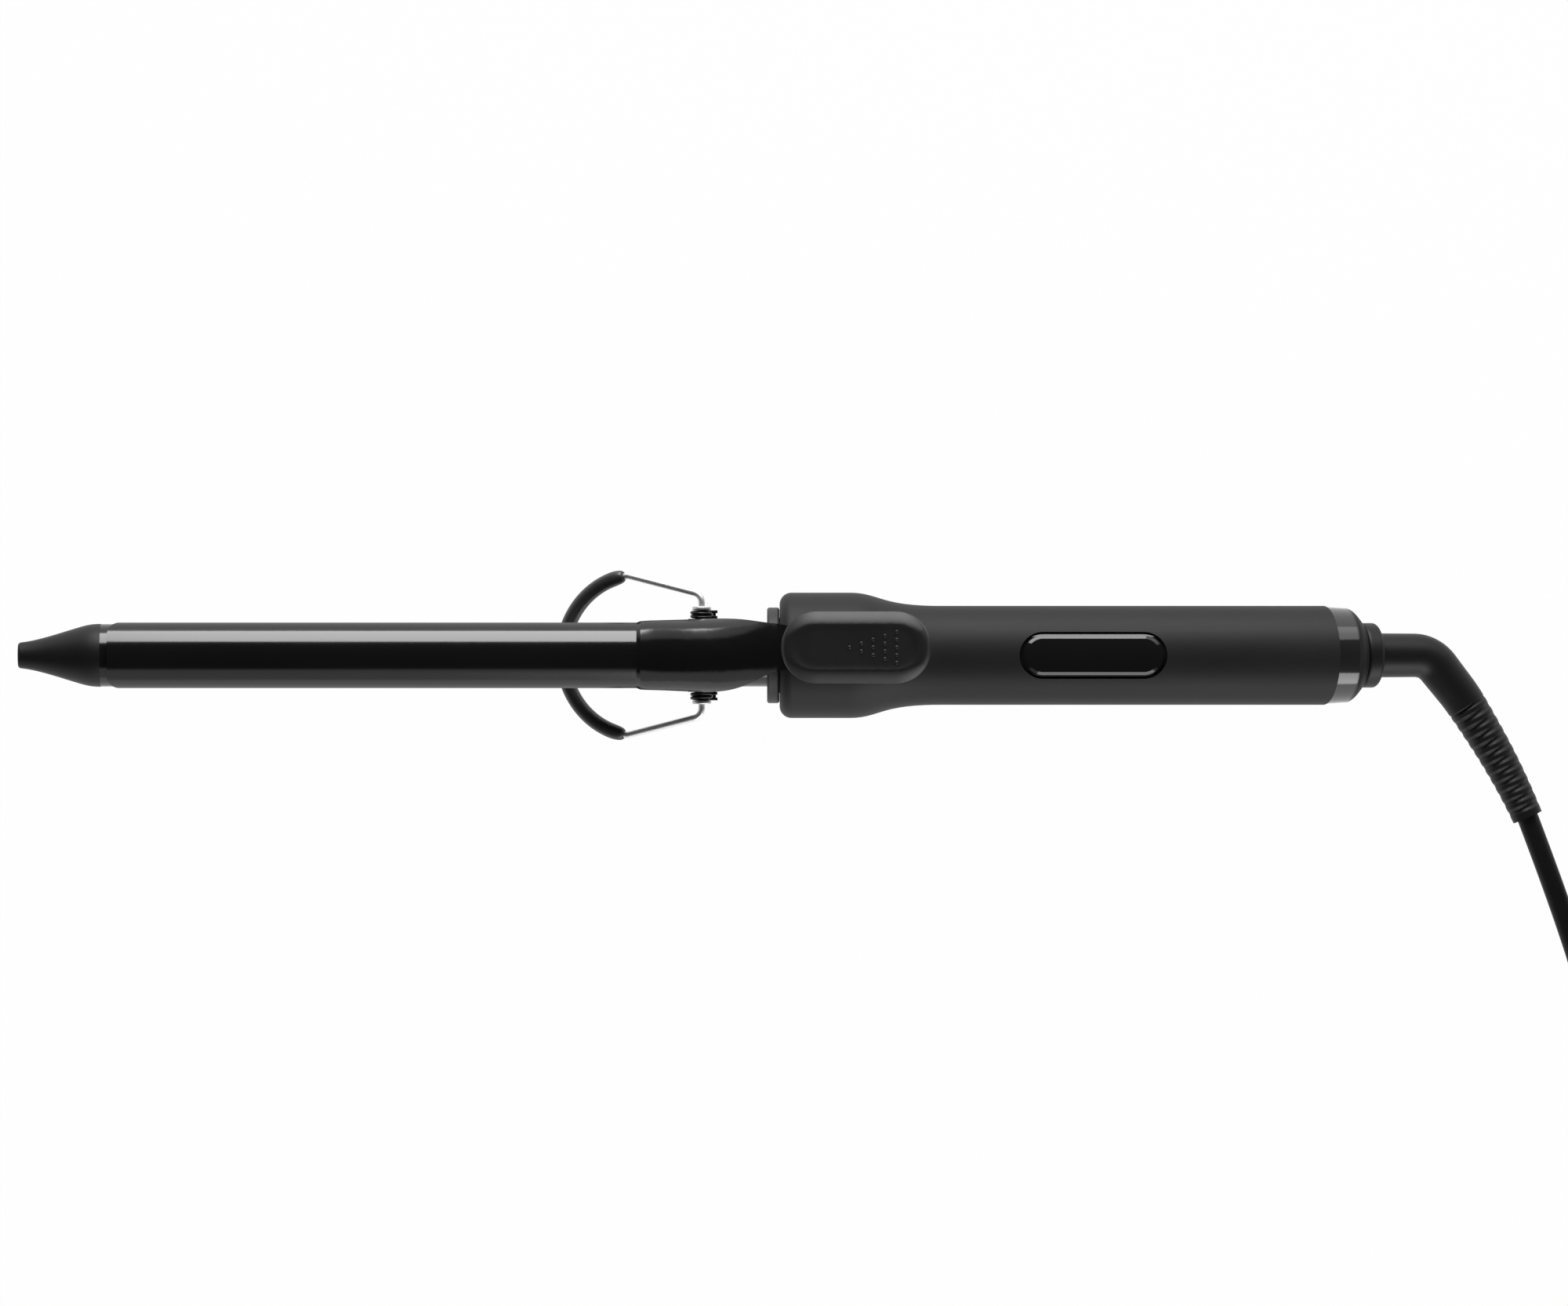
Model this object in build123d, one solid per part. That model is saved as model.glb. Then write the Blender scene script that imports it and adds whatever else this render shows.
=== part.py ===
from build123d import *
import os
from math import asin, atan2, cos, degrees, hypot, radians, sin, tan

# Millimetres. X runs along the iron, tip at -X and cord at +X, measured from the clamp pivot.
# Z is up, measured from the barrel's axis. The finished parts are moved onto the floor at the end.

# Clearances
RUN_GAP = 0.05       # radial, round a pin or shaft that turns
SEAT_GAP = 0.05      # between pieces that seat in each other
MOVE_GAP = 0.3       # between faces that swing past each other
SHEET_GAP = 0.1      # between flat sheet ears that turn side by side

# Heated barrel
BARREL_D = 19.0
BARREL_WALL = 1.2
BARREL_FRONT = 182.0
BARREL_SEAT = 26.0
TIP_LENGTH = 25.1
TIP_END_D = 7.9
TIP_SPIGOT = 9.0
HEATER_THICK = 2.4
HEATER_WIDTH = 13.0
HEATER_FRONT = 170.0
HEATER_TAB = 4.0
SPREADER_REAR = 7.0
SPREADER_WALL = 1.9
WIRE_D = 1.8

# Clamp, pressed from sheet steel
SHEET = 0.7
BLADE_TIP_GAP = 2.2   # from the blade's front edge to the cool tip
BLADE_REAR = 19.7
BLADE_WRAP = 71.0
BLADE_CORNER = 3.5
SHOULDER_STEP = 0.5
SHOULDER_LENGTH = 1.2
BRIDGE_HALF = 11.1
BRIDGE_X = 2.4
BRIDGE_LIFT = 5.0
TAIL_HALF = 6.5
TAIL_INSIDE = 26.0
CLAMP_TRAVEL = 6.0

# Clamp pivot, the same on both sides
EAR_SHEET = 0.7
BRACKET_HALF = 4.0
BRACKET_REAR = 6.0
BRACKET_EAR_R = 3.0
CLAMP_EAR_R = 4.0
STUD_D = 3.6
STUD_HEAD_D = 5.8
STUD_HEAD = 1.1
SPRING_WIRE = 0.7
SPRING_R = 3.0
SPRING_PITCH = 1.15
SPRING_HALF_TURNS = 3
SPRING_LEG = 4.7
BUSH_GAP = 0.2
TAB_X = 3.1
TAB_LENGTH = 1.2
TAB_THICK = 0.8

# Thumb lever
LEVER_LENGTH = 45.6
LEVER_WIDTH = 21.7
LEVER_THICK = 4.4
LEVER_FRONT = 24.2
LEVER_PITCH = 7.0
LEVER_SIDE = 2.4      # the lever leans this far to +Y
LEVER_RIM = 3.4
LEVER_DISH = 0.4
LEVER_ROUND = 2.0
LEVER_SOFT = 2.0
LEVER_DISH_SLOPE = 75.0
RIVET_D = 2.4
RIVET_HEAD_D = 4.2
RIVET_HEAD = 0.5
RIVET_SPACING = 12.0

# Wire stand
STAND_WIRE = 2.0
STAND_SLEEVE = 4.4
SLEEVE_ROUND = 0.9
STAND_REACH = 45.5
STAND_LOOP_R = 24.4
STAND_LOOP_ANGLE = 82.7
STAND_SHOULDER = 18.4
STAND_BEND = 3.0

# Handle
COLLAR_FRONT = 19.8
COLLAR_LENGTH = 3.8
COLLAR_D = 29.0
COLLAR_WALL = 1.9
COLLAR_FLANGE = 2.0
HUB_D = 38.0
HUB_LENGTH = 21.5
HUB_ROUND = 3.6
TAPER_LENGTH = 27.3
HANDLE_D = 30.0
HANDLE_REAR = 188.3
HANDLE_WALL = 2.6
SCREW_D = 2.6
SCREW_HEAD_D = 5.0
SCREW_HEAD = 1.8
SCREW_FRONT = 76.0
SCREW_REAR = 159.0
BOSS_WALL = 2.0

# Display and circuit board
LENS_FRONT = 96.2
LENS_LENGTH = 44.3
LENS_WIDTH = 13.9
LENS_THICK = 1.8
LENS_MARGIN = 1.0
LENS_REBATE = 0.85
LENS_BEVEL = 0.25
LENS_BEVEL_WIDTH = 0.95
LENS_GAP = 0.15
LEDGE = 1.2
BOARD_FRONT = 82.0
BOARD_LENGTH = 68.0
BOARD_WIDTH = 20.0
BOARD_THICK = 1.6
BOARD_BOTTOM = 4.0
POST_D = 3.2
MODULE_LENGTH = 24.0
MODULE_WIDTH = 9.0
TOUCH_D = 5.0

# Rear end, on an axis that dips from the handle's own
REAR_TILT = 17.0
RING_LENGTH = 11.2
RING_D = 29.4
RING_WAIST_D = 28.6
RING_MOUTH_D = 20.8
RING_SHOULDER = 4.2
SPIGOT_D = 22.4
SPIGOT_LENGTH = 4.2
SWIVEL_D = 14.4
SWIVEL_COLLAR_D = 19.6
SWIVEL_COLLAR = 5.2
SWIVEL_SOCKET = 2.6
FLANGE_D = 17.6
FLANGE = 1.6
SPINDLE_D = 8.4
SPINDLE_LENGTH = 7.6
SLIP_RING_D = 10.4
SLIP_RING_WIDTH = 1.8
SLIP_RING_SPACING = 3.4
CONTACT_D = 16.8
CONTACT_WALL = 2.6
BRUSH_WIDTH = 2.6
CRADLE = 3.0

# Strain relief: a bent boot with bend-relief ribs
BOOT_ROLL = 7.0
BOOT_NECK_D = 13.2
BOOT_ELBOW_D = 12.3
BOOT_RIB_D = 12.0
BOOT_END_D = 9.3
BOOT_STRAIGHT = 12.05
BOOT_BEND_R = 10.5
BOOT_BEND = 52.0
BOOT_REACH = 52.4
BOOT_REACH_TURN = 15.2
RIB_COUNT = 12
RIB_PITCH = 3.2
RIB_DEPTH = 0.35

# Cord
CORD_D = 6.5
CORD_GAP = 0.3
COIL_PITCH = 7.0
COIL_OUTER_R = 50.0
COIL_LAYER_HALF_TURNS = 6
COIL_SIDES = 10
LEAD_END = (272.6, -109.8)
LEAD_ANGLE = -71.5
LEAD_RUN = 33.0
TIE_WIDTH = 9.0
TIE_THICK = 1.0
TAIL_TURNS = (10.0, 8.5)
TAIL_RUN = 17.0

# Plug with two round pins
PLUG_LENGTH = 27.0
PLUG_NECK = 9.0
PLUG_NECK_D = 9.5
PLUG_FACE_WIDTH = 26.0
PLUG_WIDTH = 33.0
PLUG_THICK = 13.7
PIN_D = 4.0
PIN_LENGTH = 19.0
PIN_SPACING = 18.6
PIN_TIP_ROUND = 1.0
PIN_ROOT_D = 3.0
PIN_EMBED = 8.0

# Worked out from the sizes above
BARREL_R = BARREL_D / 2
BARREL_BORE_R = BARREL_R - BARREL_WALL
HUB_R = HUB_D / 2
HANDLE_R = HANDLE_D / 2
FLOOR = -HUB_R
COLLAR_REAR = COLLAR_FRONT + COLLAR_LENGTH
HUB_REAR = COLLAR_REAR + HUB_LENGTH
TAPER_REAR = HUB_REAR + TAPER_LENGTH
BLADE_R = BARREL_R + MOVE_GAP
BLADE_FRONT = BARREL_FRONT - BLADE_TIP_GAP
BRACKET_IN = BARREL_R + SEAT_GAP
BRACKET_OUT = BRACKET_IN + EAR_SHEET
CLAMP_EAR_IN = BRACKET_OUT + SHEET_GAP
CLAMP_EAR_OUT = CLAMP_EAR_IN + EAR_SHEET
SPRING_Y = CLAMP_EAR_OUT + SHEET_GAP + SPRING_WIRE / 2
SPRING_RISE = SPRING_HALF_TURNS * SPRING_PITCH / 2
STUD_SHOULDER = SPRING_Y + SPRING_RISE + SPRING_WIRE / 2 + SHEET_GAP
STUD_END = STUD_SHOULDER + STUD_HEAD
STUD_BORE_R = STAND_WIRE / 2 + RUN_GAP
STAND_ANGLE = degrees(asin((HUB_R - STAND_SLEEVE / 2) / STAND_REACH))
TURN = radians(CLAMP_TRAVEL)
LEVER_UNDER = (HUB_R + RIVET_HEAD + MOVE_GAP + LEVER_FRONT * sin(TURN)) / cos(TURN)
COIL_LOW_Z = FLOOR + TIE_THICK + CORD_GAP + CORD_D / 2
PLUG_Z = FLOOR + PLUG_THICK / 2
REAR = Pos(HANDLE_REAR, 0, 0) * Rot(0, REAR_TILT, 0)
COLLAR_S = RING_LENGTH + MOVE_GAP
BOOT_S = COLLAR_S + SWIVEL_COLLAR


def rod(x0, x1, radius, y=0.0, z=0.0):
    """A round bar along X."""
    return Pos((x0 + x1) / 2, y, z) * Cylinder(radius, x1 - x0, rotation=(0, 90, 0))


def tube(x0, x1, outer, inner):
    """A round tube along X."""
    return rod(x0, x1, outer) - rod(x0 - 1, x1 + 1, inner)


def cross_rod(y0, y1, radius, x=0.0, z=0.0):
    """A round bar along Y."""
    return Pos(x, (y0 + y1) / 2, z) * Cylinder(radius, y1 - y0, rotation=(90, 0, 0))


def block(x0, x1, y0, y1, z0, z1):
    """A box between two corners."""
    return Pos((x0 + x1) / 2, (y0 + y1) / 2, (z0 + z1) / 2) * Box(x1 - x0, y1 - y0, z1 - z0)


def both_sides(shape):
    """A piece at +Y and its mirror at -Y."""
    return Compound([shape, mirror(shape, Plane.XZ)])


def upper_space(z0=0.0):
    """A block larger than the handle, above z0."""
    return block(-BARREL_FRONT, HANDLE_REAR * 2, -HUB_D, HUB_D, z0, HUB_D * 2)


def lower_space(z0=0.0):
    """A block larger than the handle, below z0."""
    return block(-BARREL_FRONT, HANDLE_REAR * 2, -HUB_D, HUB_D, -HUB_D * 2, z0)


# Heated barrel

def barrel_tube():
    return tube(-BARREL_FRONT, COLLAR_REAR + BARREL_SEAT, BARREL_R, BARREL_BORE_R)


def cool_tip():
    base = -BARREL_FRONT
    end = base - TIP_LENGTH
    end_r = TIP_END_D / 2
    corner = end_r / 4
    spigot_r = BARREL_BORE_R - SEAT_GAP
    outline = Spline(
        (end + corner, end_r),
        (end + TIP_LENGTH * 0.27, end_r + (BARREL_R - end_r) * 0.2),
        (end + TIP_LENGTH * 0.75, end_r + (BARREL_R - end_r) * 0.84),
        (base, BARREL_R + SEAT_GAP),
        tangents=[(1, 0.12), (1, 0)],
    )
    nose = RadiusArc((end, end_r - corner), (end + corner, end_r), corner)
    back = Polyline(
        (base, BARREL_R + SEAT_GAP),
        (base, spigot_r),
        (base + TIP_SPIGOT, spigot_r),
        (base + TIP_SPIGOT, 0),
        (end, 0),
        (end, end_r - corner),
    )
    return revolve(make_face([nose, outline, back]), Axis.X)


def heater_half(side):
    """One of the two aluminium halves that carry heat from the ceramic strip to the barrel."""
    seat = HEATER_THICK / 2 + SEAT_GAP
    outer = rod(-HEATER_FRONT, -SPREADER_REAR, BARREL_BORE_R - SEAT_GAP)
    inner = rod(-HEATER_FRONT - 1, -SPREADER_REAR + 1, BARREL_BORE_R - SEAT_GAP - SPREADER_WALL)
    if side > 0:
        return outer & upper_space(seat) - (inner & upper_space(seat + SPREADER_WALL))
    return outer & lower_space(-seat) - (inner & lower_space(-seat - SPREADER_WALL))


def ceramic_heater():
    half = HEATER_WIDTH / 2
    thick = HEATER_THICK / 2
    return block(-HEATER_FRONT, HEATER_TAB, -half, half, -thick, thick)


def temperature_sensor():
    low = -HEATER_THICK / 2 - SEAT_GAP - WIRE_D / 2
    bead = rod(-SPREADER_REAR + 1, HEATER_TAB - 1, WIRE_D / 2, 0, low)
    return fillet(bead.edges(), WIRE_D / 2.2)


def thermal_fuse():
    radius = WIRE_D * 0.8
    height = HEATER_THICK / 2 + SEAT_GAP + radius
    body = rod(-SPREADER_REAR + 1, HEATER_TAB - 1, radius, 0, height)
    return fillet(body.edges(), radius / 3)


def heater_leads():
    side = HEATER_WIDTH / 2 - WIRE_D / 2
    height = HEATER_THICK / 2 + SEAT_GAP + WIRE_D / 2
    rear = BOARD_FRONT + BOSS_WALL * 4
    return both_sides(rod(-SPREADER_REAR + SEAT_GAP, rear, WIRE_D / 2, side, height))


# Clamp pivot

def pivot_bracket():
    saddle = tube(-BRACKET_HALF, BRACKET_REAR, BRACKET_OUT, BRACKET_IN) & lower_space()
    ear = cross_rod(BRACKET_IN, BRACKET_OUT, BRACKET_EAR_R)
    ear += block(-BRACKET_EAR_R, BRACKET_EAR_R, BRACKET_IN, BRACKET_OUT, -BRACKET_EAR_R / 2, 0)
    lug_top = -SPRING_R - SPRING_WIRE / 2 - SEAT_GAP
    lug_in = (BRACKET_OUT**2 - lug_top**2) ** 0.5 - EAR_SHEET / 2
    lug = block(TAB_X, TAB_X + TAB_LENGTH, lug_in, STUD_SHOULDER - SHEET_GAP, lug_top - TAB_THICK, lug_top)
    sides = ear + lug
    bracket = saddle + sides + mirror(sides, Plane.XZ)
    return bracket - cross_rod(-BRACKET_OUT - 1, BRACKET_OUT + 1, STUD_D / 2 + SEAT_GAP / 2) - rod(
        -BRACKET_HALF - 1, BRACKET_REAR + 1, BRACKET_IN
    )


def pivot_studs():
    stud = cross_rod(BRACKET_IN + SEAT_GAP, STUD_SHOULDER, STUD_D / 2)
    head = fillet(cross_rod(STUD_SHOULDER, STUD_END, STUD_HEAD_D / 2).edges(), STUD_HEAD / 3)
    return both_sides(stud + head - cross_rod(BRACKET_IN - 1, STUD_END + 1, STUD_BORE_R))


def spring_bushes():
    """Bushes on the studs that keep the springs round."""
    inside = CLAMP_EAR_OUT + SHEET_GAP
    bush = cross_rod(inside, STUD_SHOULDER - SHEET_GAP, SPRING_R - SPRING_WIRE / 2 - BUSH_GAP)
    return both_sides(bush - cross_rod(inside - 1, STUD_SHOULDER, STUD_D / 2 + SEAT_GAP))


def spring_path():
    """Half turns about Y between two straight legs, each half turn a semicircle in a tilted plane."""
    lift = SPRING_PITCH / 2
    bulge = hypot(SPRING_R, lift / 2)
    points = [Vector(SPRING_LEG, SPRING_Y, SPRING_R), Vector(0, SPRING_Y, SPRING_R)]
    edges = [Line(*points)]
    side = 1
    for turn in range(SPRING_HALF_TURNS):
        start = points[-1]
        middle = Vector(-side * bulge, start.Y + lift / 2, 0)
        end = Vector(0, start.Y + lift, -side * SPRING_R)
        edges.append(ThreePointArc(start, middle, end))
        points.append(end)
        side = -side
    edges.append(Line(points[-1], points[-1] + Vector(SPRING_LEG, 0, 0)))
    return Wire(edges)


def torsion_spring(side):
    path = spring_path()
    section = Plane(path @ 0, z_dir=path % 0) * Circle(SPRING_WIRE / 2)
    spring = sweep(section, path)
    return spring if side > 0 else mirror(spring, Plane.XZ)


# Clamp

def band(x, half_width, top, inner_r, side=0.0):
    """A curved strip of sheet across the iron, with the middle of its inner face at height top."""
    outer_r = inner_r + SHEET
    angle = asin(min(half_width / outer_r, 0.99))
    centre = top - inner_r

    def at(radius, turn):
        return (side + radius * sin(turn), centre + radius * cos(turn))

    outer = ThreePointArc(at(outer_r, -angle), at(outer_r, 0), at(outer_r, angle))
    inner = ThreePointArc(at(inner_r, angle), at(inner_r, 0), at(inner_r, -angle))
    ends = [Line(outer @ 1, inner @ 0), Line(inner @ 1, outer @ 0)]
    return Plane.YZ.offset(x) * make_face([outer, ends[0], inner, ends[1]])


def under_band(x, half_width, top, inner_r):
    """The room under a strip's outer face, as wide as the cheeks and down past the studs."""
    outer_r = inner_r + SHEET
    angle = asin(min(half_width / outer_r, 0.99))
    centre = top - inner_r
    edge = (outer_r * sin(angle), centre + outer_r * cos(angle))
    arc = ThreePointArc((-edge[0], edge[1]), (0, centre + outer_r), edge)
    wide = CLAMP_EAR_OUT * 2
    low = -CLAMP_EAR_R * 2
    rest = Polyline(edge, (wide, edge[1]), (wide, low), (-wide, low), (-wide, edge[1]), (-edge[0], edge[1]))
    return Plane.YZ.offset(x) * make_face([arc, *rest.edges()])


def clamp_ear():
    """The flat cheek that hangs on the stud, with the tab that the spring's leg pushes up."""
    top = BRIDGE_LIFT + BLADE_R * 0.45
    tab_low = SPRING_R + SPRING_WIRE / 2 + SEAT_GAP
    ear = cross_rod(CLAMP_EAR_IN, CLAMP_EAR_OUT, CLAMP_EAR_R)
    ear += block(-CLAMP_EAR_R, CLAMP_EAR_R, CLAMP_EAR_IN, CLAMP_EAR_OUT, 0, top)
    ear += block(0, TAB_X + TAB_LENGTH, CLAMP_EAR_IN, CLAMP_EAR_OUT, tab_low, top)
    tab_out = SPRING_Y + SPRING_WIRE / 2
    ear += block(TAB_X, TAB_X + TAB_LENGTH, CLAMP_EAR_IN, tab_out, tab_low, tab_low + TAB_THICK)
    return ear - cross_rod(CLAMP_EAR_IN - 1, CLAMP_EAR_OUT + 1, STUD_D / 2 + RUN_GAP)


def tail_top(x):
    """Height of the tail's inner face: a straight rise from the bridge to the lever."""
    start = BRIDGE_X + SHEET * 2
    low = BLADE_R + SHOULDER_STEP + BRIDGE_LIFT + SHEET
    share = (x - start) / (LEVER_FRONT - start)
    return low + (LEVER_UNDER - low) * share


def clamp_blade():
    blade_half = (BLADE_R + SHEET) * sin(radians(BLADE_WRAP))
    shoulder_r = BLADE_R + SHOULDER_STEP
    shoulder_half = (shoulder_r + SHEET) * sin(radians(BLADE_WRAP))
    shoulder_x = -BLADE_REAR + SHOULDER_LENGTH
    start = band(-BLADE_FRONT, blade_half, BLADE_R, BLADE_R)
    blade = extrude(start, BLADE_FRONT - BLADE_REAR, dir=(1, 0, 0))
    plan_length = BLADE_FRONT * 2
    plan = Pos(-BLADE_FRONT + plan_length / 2, 0, 0) * RectangleRounded(plan_length, blade_half * 2, BLADE_CORNER)
    blade = blade & extrude(plan, HUB_D, both=True)
    shoulder = band(shoulder_x, shoulder_half, shoulder_r, shoulder_r)
    step = loft([band(-BLADE_REAR, blade_half, BLADE_R, BLADE_R), shoulder], ruled=True)
    bridge_r = shoulder_r + SHEET
    bridge = band(BRIDGE_X, BRIDGE_HALF, bridge_r + BRIDGE_LIFT, bridge_r)
    middle_x = (shoulder_x + BRIDGE_X) / 2
    middle_half = (shoulder_half + BRIDGE_HALF) / 2
    middle = band(middle_x, middle_half, (shoulder_r + bridge_r + BRIDGE_LIFT) / 2, (shoulder_r + bridge_r) / 2)
    run = LEVER_FRONT - BRIDGE_X
    neck_half = TAIL_HALF + SHEET
    x1, x2, x3 = BRIDGE_X + run * 0.3, BRIDGE_X + run * 0.62, LEVER_FRONT - SHEET * 2
    rise = [
        band(x1, BRIDGE_HALF - SHEET / 2, tail_top(x1), bridge_r * 1.02, LEVER_SIDE * 0.15),
        band(x2, (BRIDGE_HALF + neck_half) / 2, tail_top(x2), bridge_r * 1.08, LEVER_SIDE * 0.55),
        band(x3, neck_half, tail_top(x3), bridge_r * 1.3, LEVER_SIDE),
    ]
    body = loft([shoulder, middle, bridge, *rise])
    flat_r = TAIL_INSIDE * 8
    slope = tan(radians(LEVER_PITCH))
    inside = [
        band(LEVER_FRONT + reach, TAIL_HALF, LEVER_UNDER + reach * slope, flat_r, LEVER_SIDE)
        for reach in (SHEET * 3, TAIL_INSIDE)
    ]
    tail = loft([rise[-1], inside[0]], ruled=True) + loft(inside, ruled=True)
    cover = [
        under_band(middle_x, middle_half, (shoulder_r + bridge_r + BRIDGE_LIFT) / 2, (shoulder_r + bridge_r) / 2),
        under_band(BRIDGE_X, BRIDGE_HALF, bridge_r + BRIDGE_LIFT, bridge_r),
        under_band(x1, BRIDGE_HALF - SHEET / 2, tail_top(x1), bridge_r * 1.02),
    ]
    ears = clamp_ear() & loft(cover, ruled=True)
    pressing = blade + step + body + tail + ears + mirror(ears, Plane.XZ)
    for hole in rivet_places():
        pressing -= lever_frame() * Pos(hole, 0, 0) * Cylinder(RIVET_D / 2 + SEAT_GAP, SHEET * 6)
    return pressing


# Thumb lever

def lever_frame():
    """The lever's own frame: origin at the front of its underside, X along it."""
    return Pos(LEVER_FRONT, LEVER_SIDE, LEVER_UNDER) * Rot(0, -LEVER_PITCH, 0)


def rivet_places():
    middle = TAIL_INSIDE * 0.56
    return [middle - RIVET_SPACING / 2, middle + RIVET_SPACING / 2]


def thumb_lever():
    plan = Pos(LEVER_LENGTH / 2, 0, 0) * SlotOverall(LEVER_LENGTH, LEVER_WIDTH)
    body = extrude(plan, LEVER_THICK)
    body = fillet(body.faces().sort_by(Axis.Z)[-1].edges(), LEVER_ROUND)
    inner = SlotOverall(LEVER_LENGTH - LEVER_RIM * 2, LEVER_WIDTH - LEVER_RIM * 2)
    dish = extrude(Pos(LEVER_LENGTH / 2, 0, LEVER_THICK) * inner, -LEVER_DISH, taper=LEVER_DISH_SLOPE)
    channel_half = TAIL_HALF + SHEET + SEAT_GAP
    channel = block(-1, TAIL_INSIDE + SHEET, -channel_half, channel_half, -1, SHEET * 1.5)
    body -= dish
    reach = LEVER_WIDTH / 2 - LEVER_RIM + SEAT_GAP
    level = body.edges().filter_by_position(Axis.Z, LEVER_THICK - SEAT_GAP, LEVER_THICK + SEAT_GAP)
    crest = [e for e in level if abs((e @ 0.5).Y) < reach and LEVER_RIM - SEAT_GAP < (e @ 0.5).X]
    crest = [e for e in crest if (e @ 0.5).X < LEVER_LENGTH - LEVER_RIM + SEAT_GAP]
    body = fillet(crest, LEVER_SOFT) - channel
    for hole in rivet_places():
        body -= Pos(hole, 0, 0) * Cylinder(RIVET_D / 2 + SEAT_GAP, (LEVER_THICK - LEVER_DISH) * 1.5)
    return lever_frame() * body


def lever_rivets():
    length = (LEVER_THICK - LEVER_DISH) * 0.7
    shank = extrude(Circle(RIVET_D / 2), length)
    head = extrude(Pos(0, 0, -RIVET_HEAD) * Circle(RIVET_HEAD_D / 2), RIVET_HEAD - SEAT_GAP)
    rivet = shank + fillet(head.edges(), RIVET_HEAD / 3) + extrude(Circle(RIVET_D / 2), -RIVET_HEAD)
    return Compound([lever_frame() * Pos(place, 0, 0) * rivet for place in rivet_places()])


# Wire stand, drawn flat with its reach towards -X and then swung down to the floor

def stand_frame():
    return Rot(0, -STAND_ANGLE, 0)


def loop_point(turn):
    """A point of the loop, turn degrees from its far end."""
    centre = STAND_REACH - STAND_LOOP_R
    return (-centre - STAND_LOOP_R * cos(radians(turn)), STAND_LOOP_R * sin(radians(turn)))


def stand_wire():
    end = loop_point(STAND_LOOP_ANGLE)
    inside = BRACKET_OUT + SHEET_GAP
    leg = Polyline((0, inside), (0, STAND_SHOULDER), end)
    far_leg = Polyline((end[0], -end[1]), (0, -STAND_SHOULDER), (0, -inside))
    loop = ThreePointArc(end, loop_point(0), (end[0], -end[1]))
    path = Wire([*leg.edges(), *loop.edges(), *far_leg.edges()])
    bends = [v for v in path.vertices() if abs(abs(v.Y) - inside) > 0.01]
    path = path.fillet_2d(STAND_BEND, bends)
    section = Plane(path @ 0, z_dir=path % 0) * Circle(STAND_WIRE / 2)
    return stand_frame() * sweep(section, path)


def stand_sleeve():
    cover = STAND_LOOP_ANGLE - degrees(STAND_BEND / STAND_LOOP_R) * 0.5
    loop = ThreePointArc(loop_point(cover), loop_point(0), loop_point(-cover))
    plane = Plane(loop @ 0, z_dir=loop % 0)
    outer = sweep(plane * Circle(STAND_SLEEVE / 2), loop)
    outer = fillet(outer.edges().filter_by(GeomType.CIRCLE).sort_by(SortBy.LENGTH)[:2], SLEEVE_ROUND)
    inner = sweep(plane * Circle(STAND_WIRE / 2 + SEAT_GAP), loop)
    return stand_frame() * (outer - inner)


# Handle

def barrel_collar():
    sleeve_r = BARREL_R + SEAT_GAP
    outer = sleeve_r + COLLAR_WALL
    flange_front = COLLAR_REAR + HANDLE_WALL + SEAT_GAP
    ring = rod(COLLAR_FRONT, COLLAR_REAR - SEAT_GAP, COLLAR_D / 2)
    ring = fillet(ring.edges(), COLLAR_LENGTH / 5) - rod(COLLAR_FRONT - 1, COLLAR_REAR, sleeve_r)
    sleeve = tube(COLLAR_REAR - SEAT_GAP, COLLAR_REAR + BARREL_SEAT, outer, sleeve_r)
    flange = tube(flange_front, flange_front + COLLAR_FLANGE, COLLAR_D / 2, sleeve_r)
    return ring + sleeve + flange


def handle_outline(inset):
    """Half section of the handle, from the hub's face to past its rear, drawn in by inset."""
    hub = HUB_R - inset
    grip = HANDLE_R - inset
    front = COLLAR_REAR + inset
    corner = max(HUB_ROUND - inset, 0.2)
    rear = HANDLE_REAR + HANDLE_D
    swell = Spline(
        (HUB_REAR, hub),
        (HUB_REAR + TAPER_LENGTH * 0.4, grip + (hub - grip) * 0.42),
        (TAPER_REAR, grip),
        tangents=[(1, 0), (1, 0)],
    )
    edges = [
        Line((front, 0), (front, hub - corner)),
        RadiusArc((front, hub - corner), (front + corner, hub), corner),
        Line((front + corner, hub), (HUB_REAR, hub)),
        swell,
        Line((TAPER_REAR, grip), (rear, grip)),
        Line((rear, grip), (rear, 0)),
        Line((rear, 0), (front, 0)),
    ]
    return revolve(make_face(edges), Axis.X)


def behind_handle():
    """The space behind the handle's slanted rear face."""
    size = HANDLE_D * 3
    return REAR * block(0, size, -size, size, -size, size)


def handle_body():
    body = handle_outline(0) - behind_handle()
    bore = BARREL_R + SEAT_GAP + COLLAR_WALL + SEAT_GAP
    body -= rod(COLLAR_FRONT, COLLAR_REAR + HANDLE_WALL + 1, bore)
    return body - handle_outline(HANDLE_WALL)


def lens_plan(grow):
    middle = LENS_FRONT + LENS_LENGTH / 2
    return Pos(middle, 0, 0) * SlotOverall(LENS_LENGTH + grow * 2, LENS_WIDTH + grow * 2)


def boss_places():
    return [SCREW_FRONT, SCREW_REAR]


def post_places():
    inset = POST_D
    xs = [BOARD_FRONT + inset, BOARD_FRONT + BOARD_LENGTH - inset]
    ys = [BOARD_WIDTH / 2 - inset / 2 - 1, inset / 2 + 1 - BOARD_WIDTH / 2]
    return [(x, y) for x in xs for y in ys]


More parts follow.
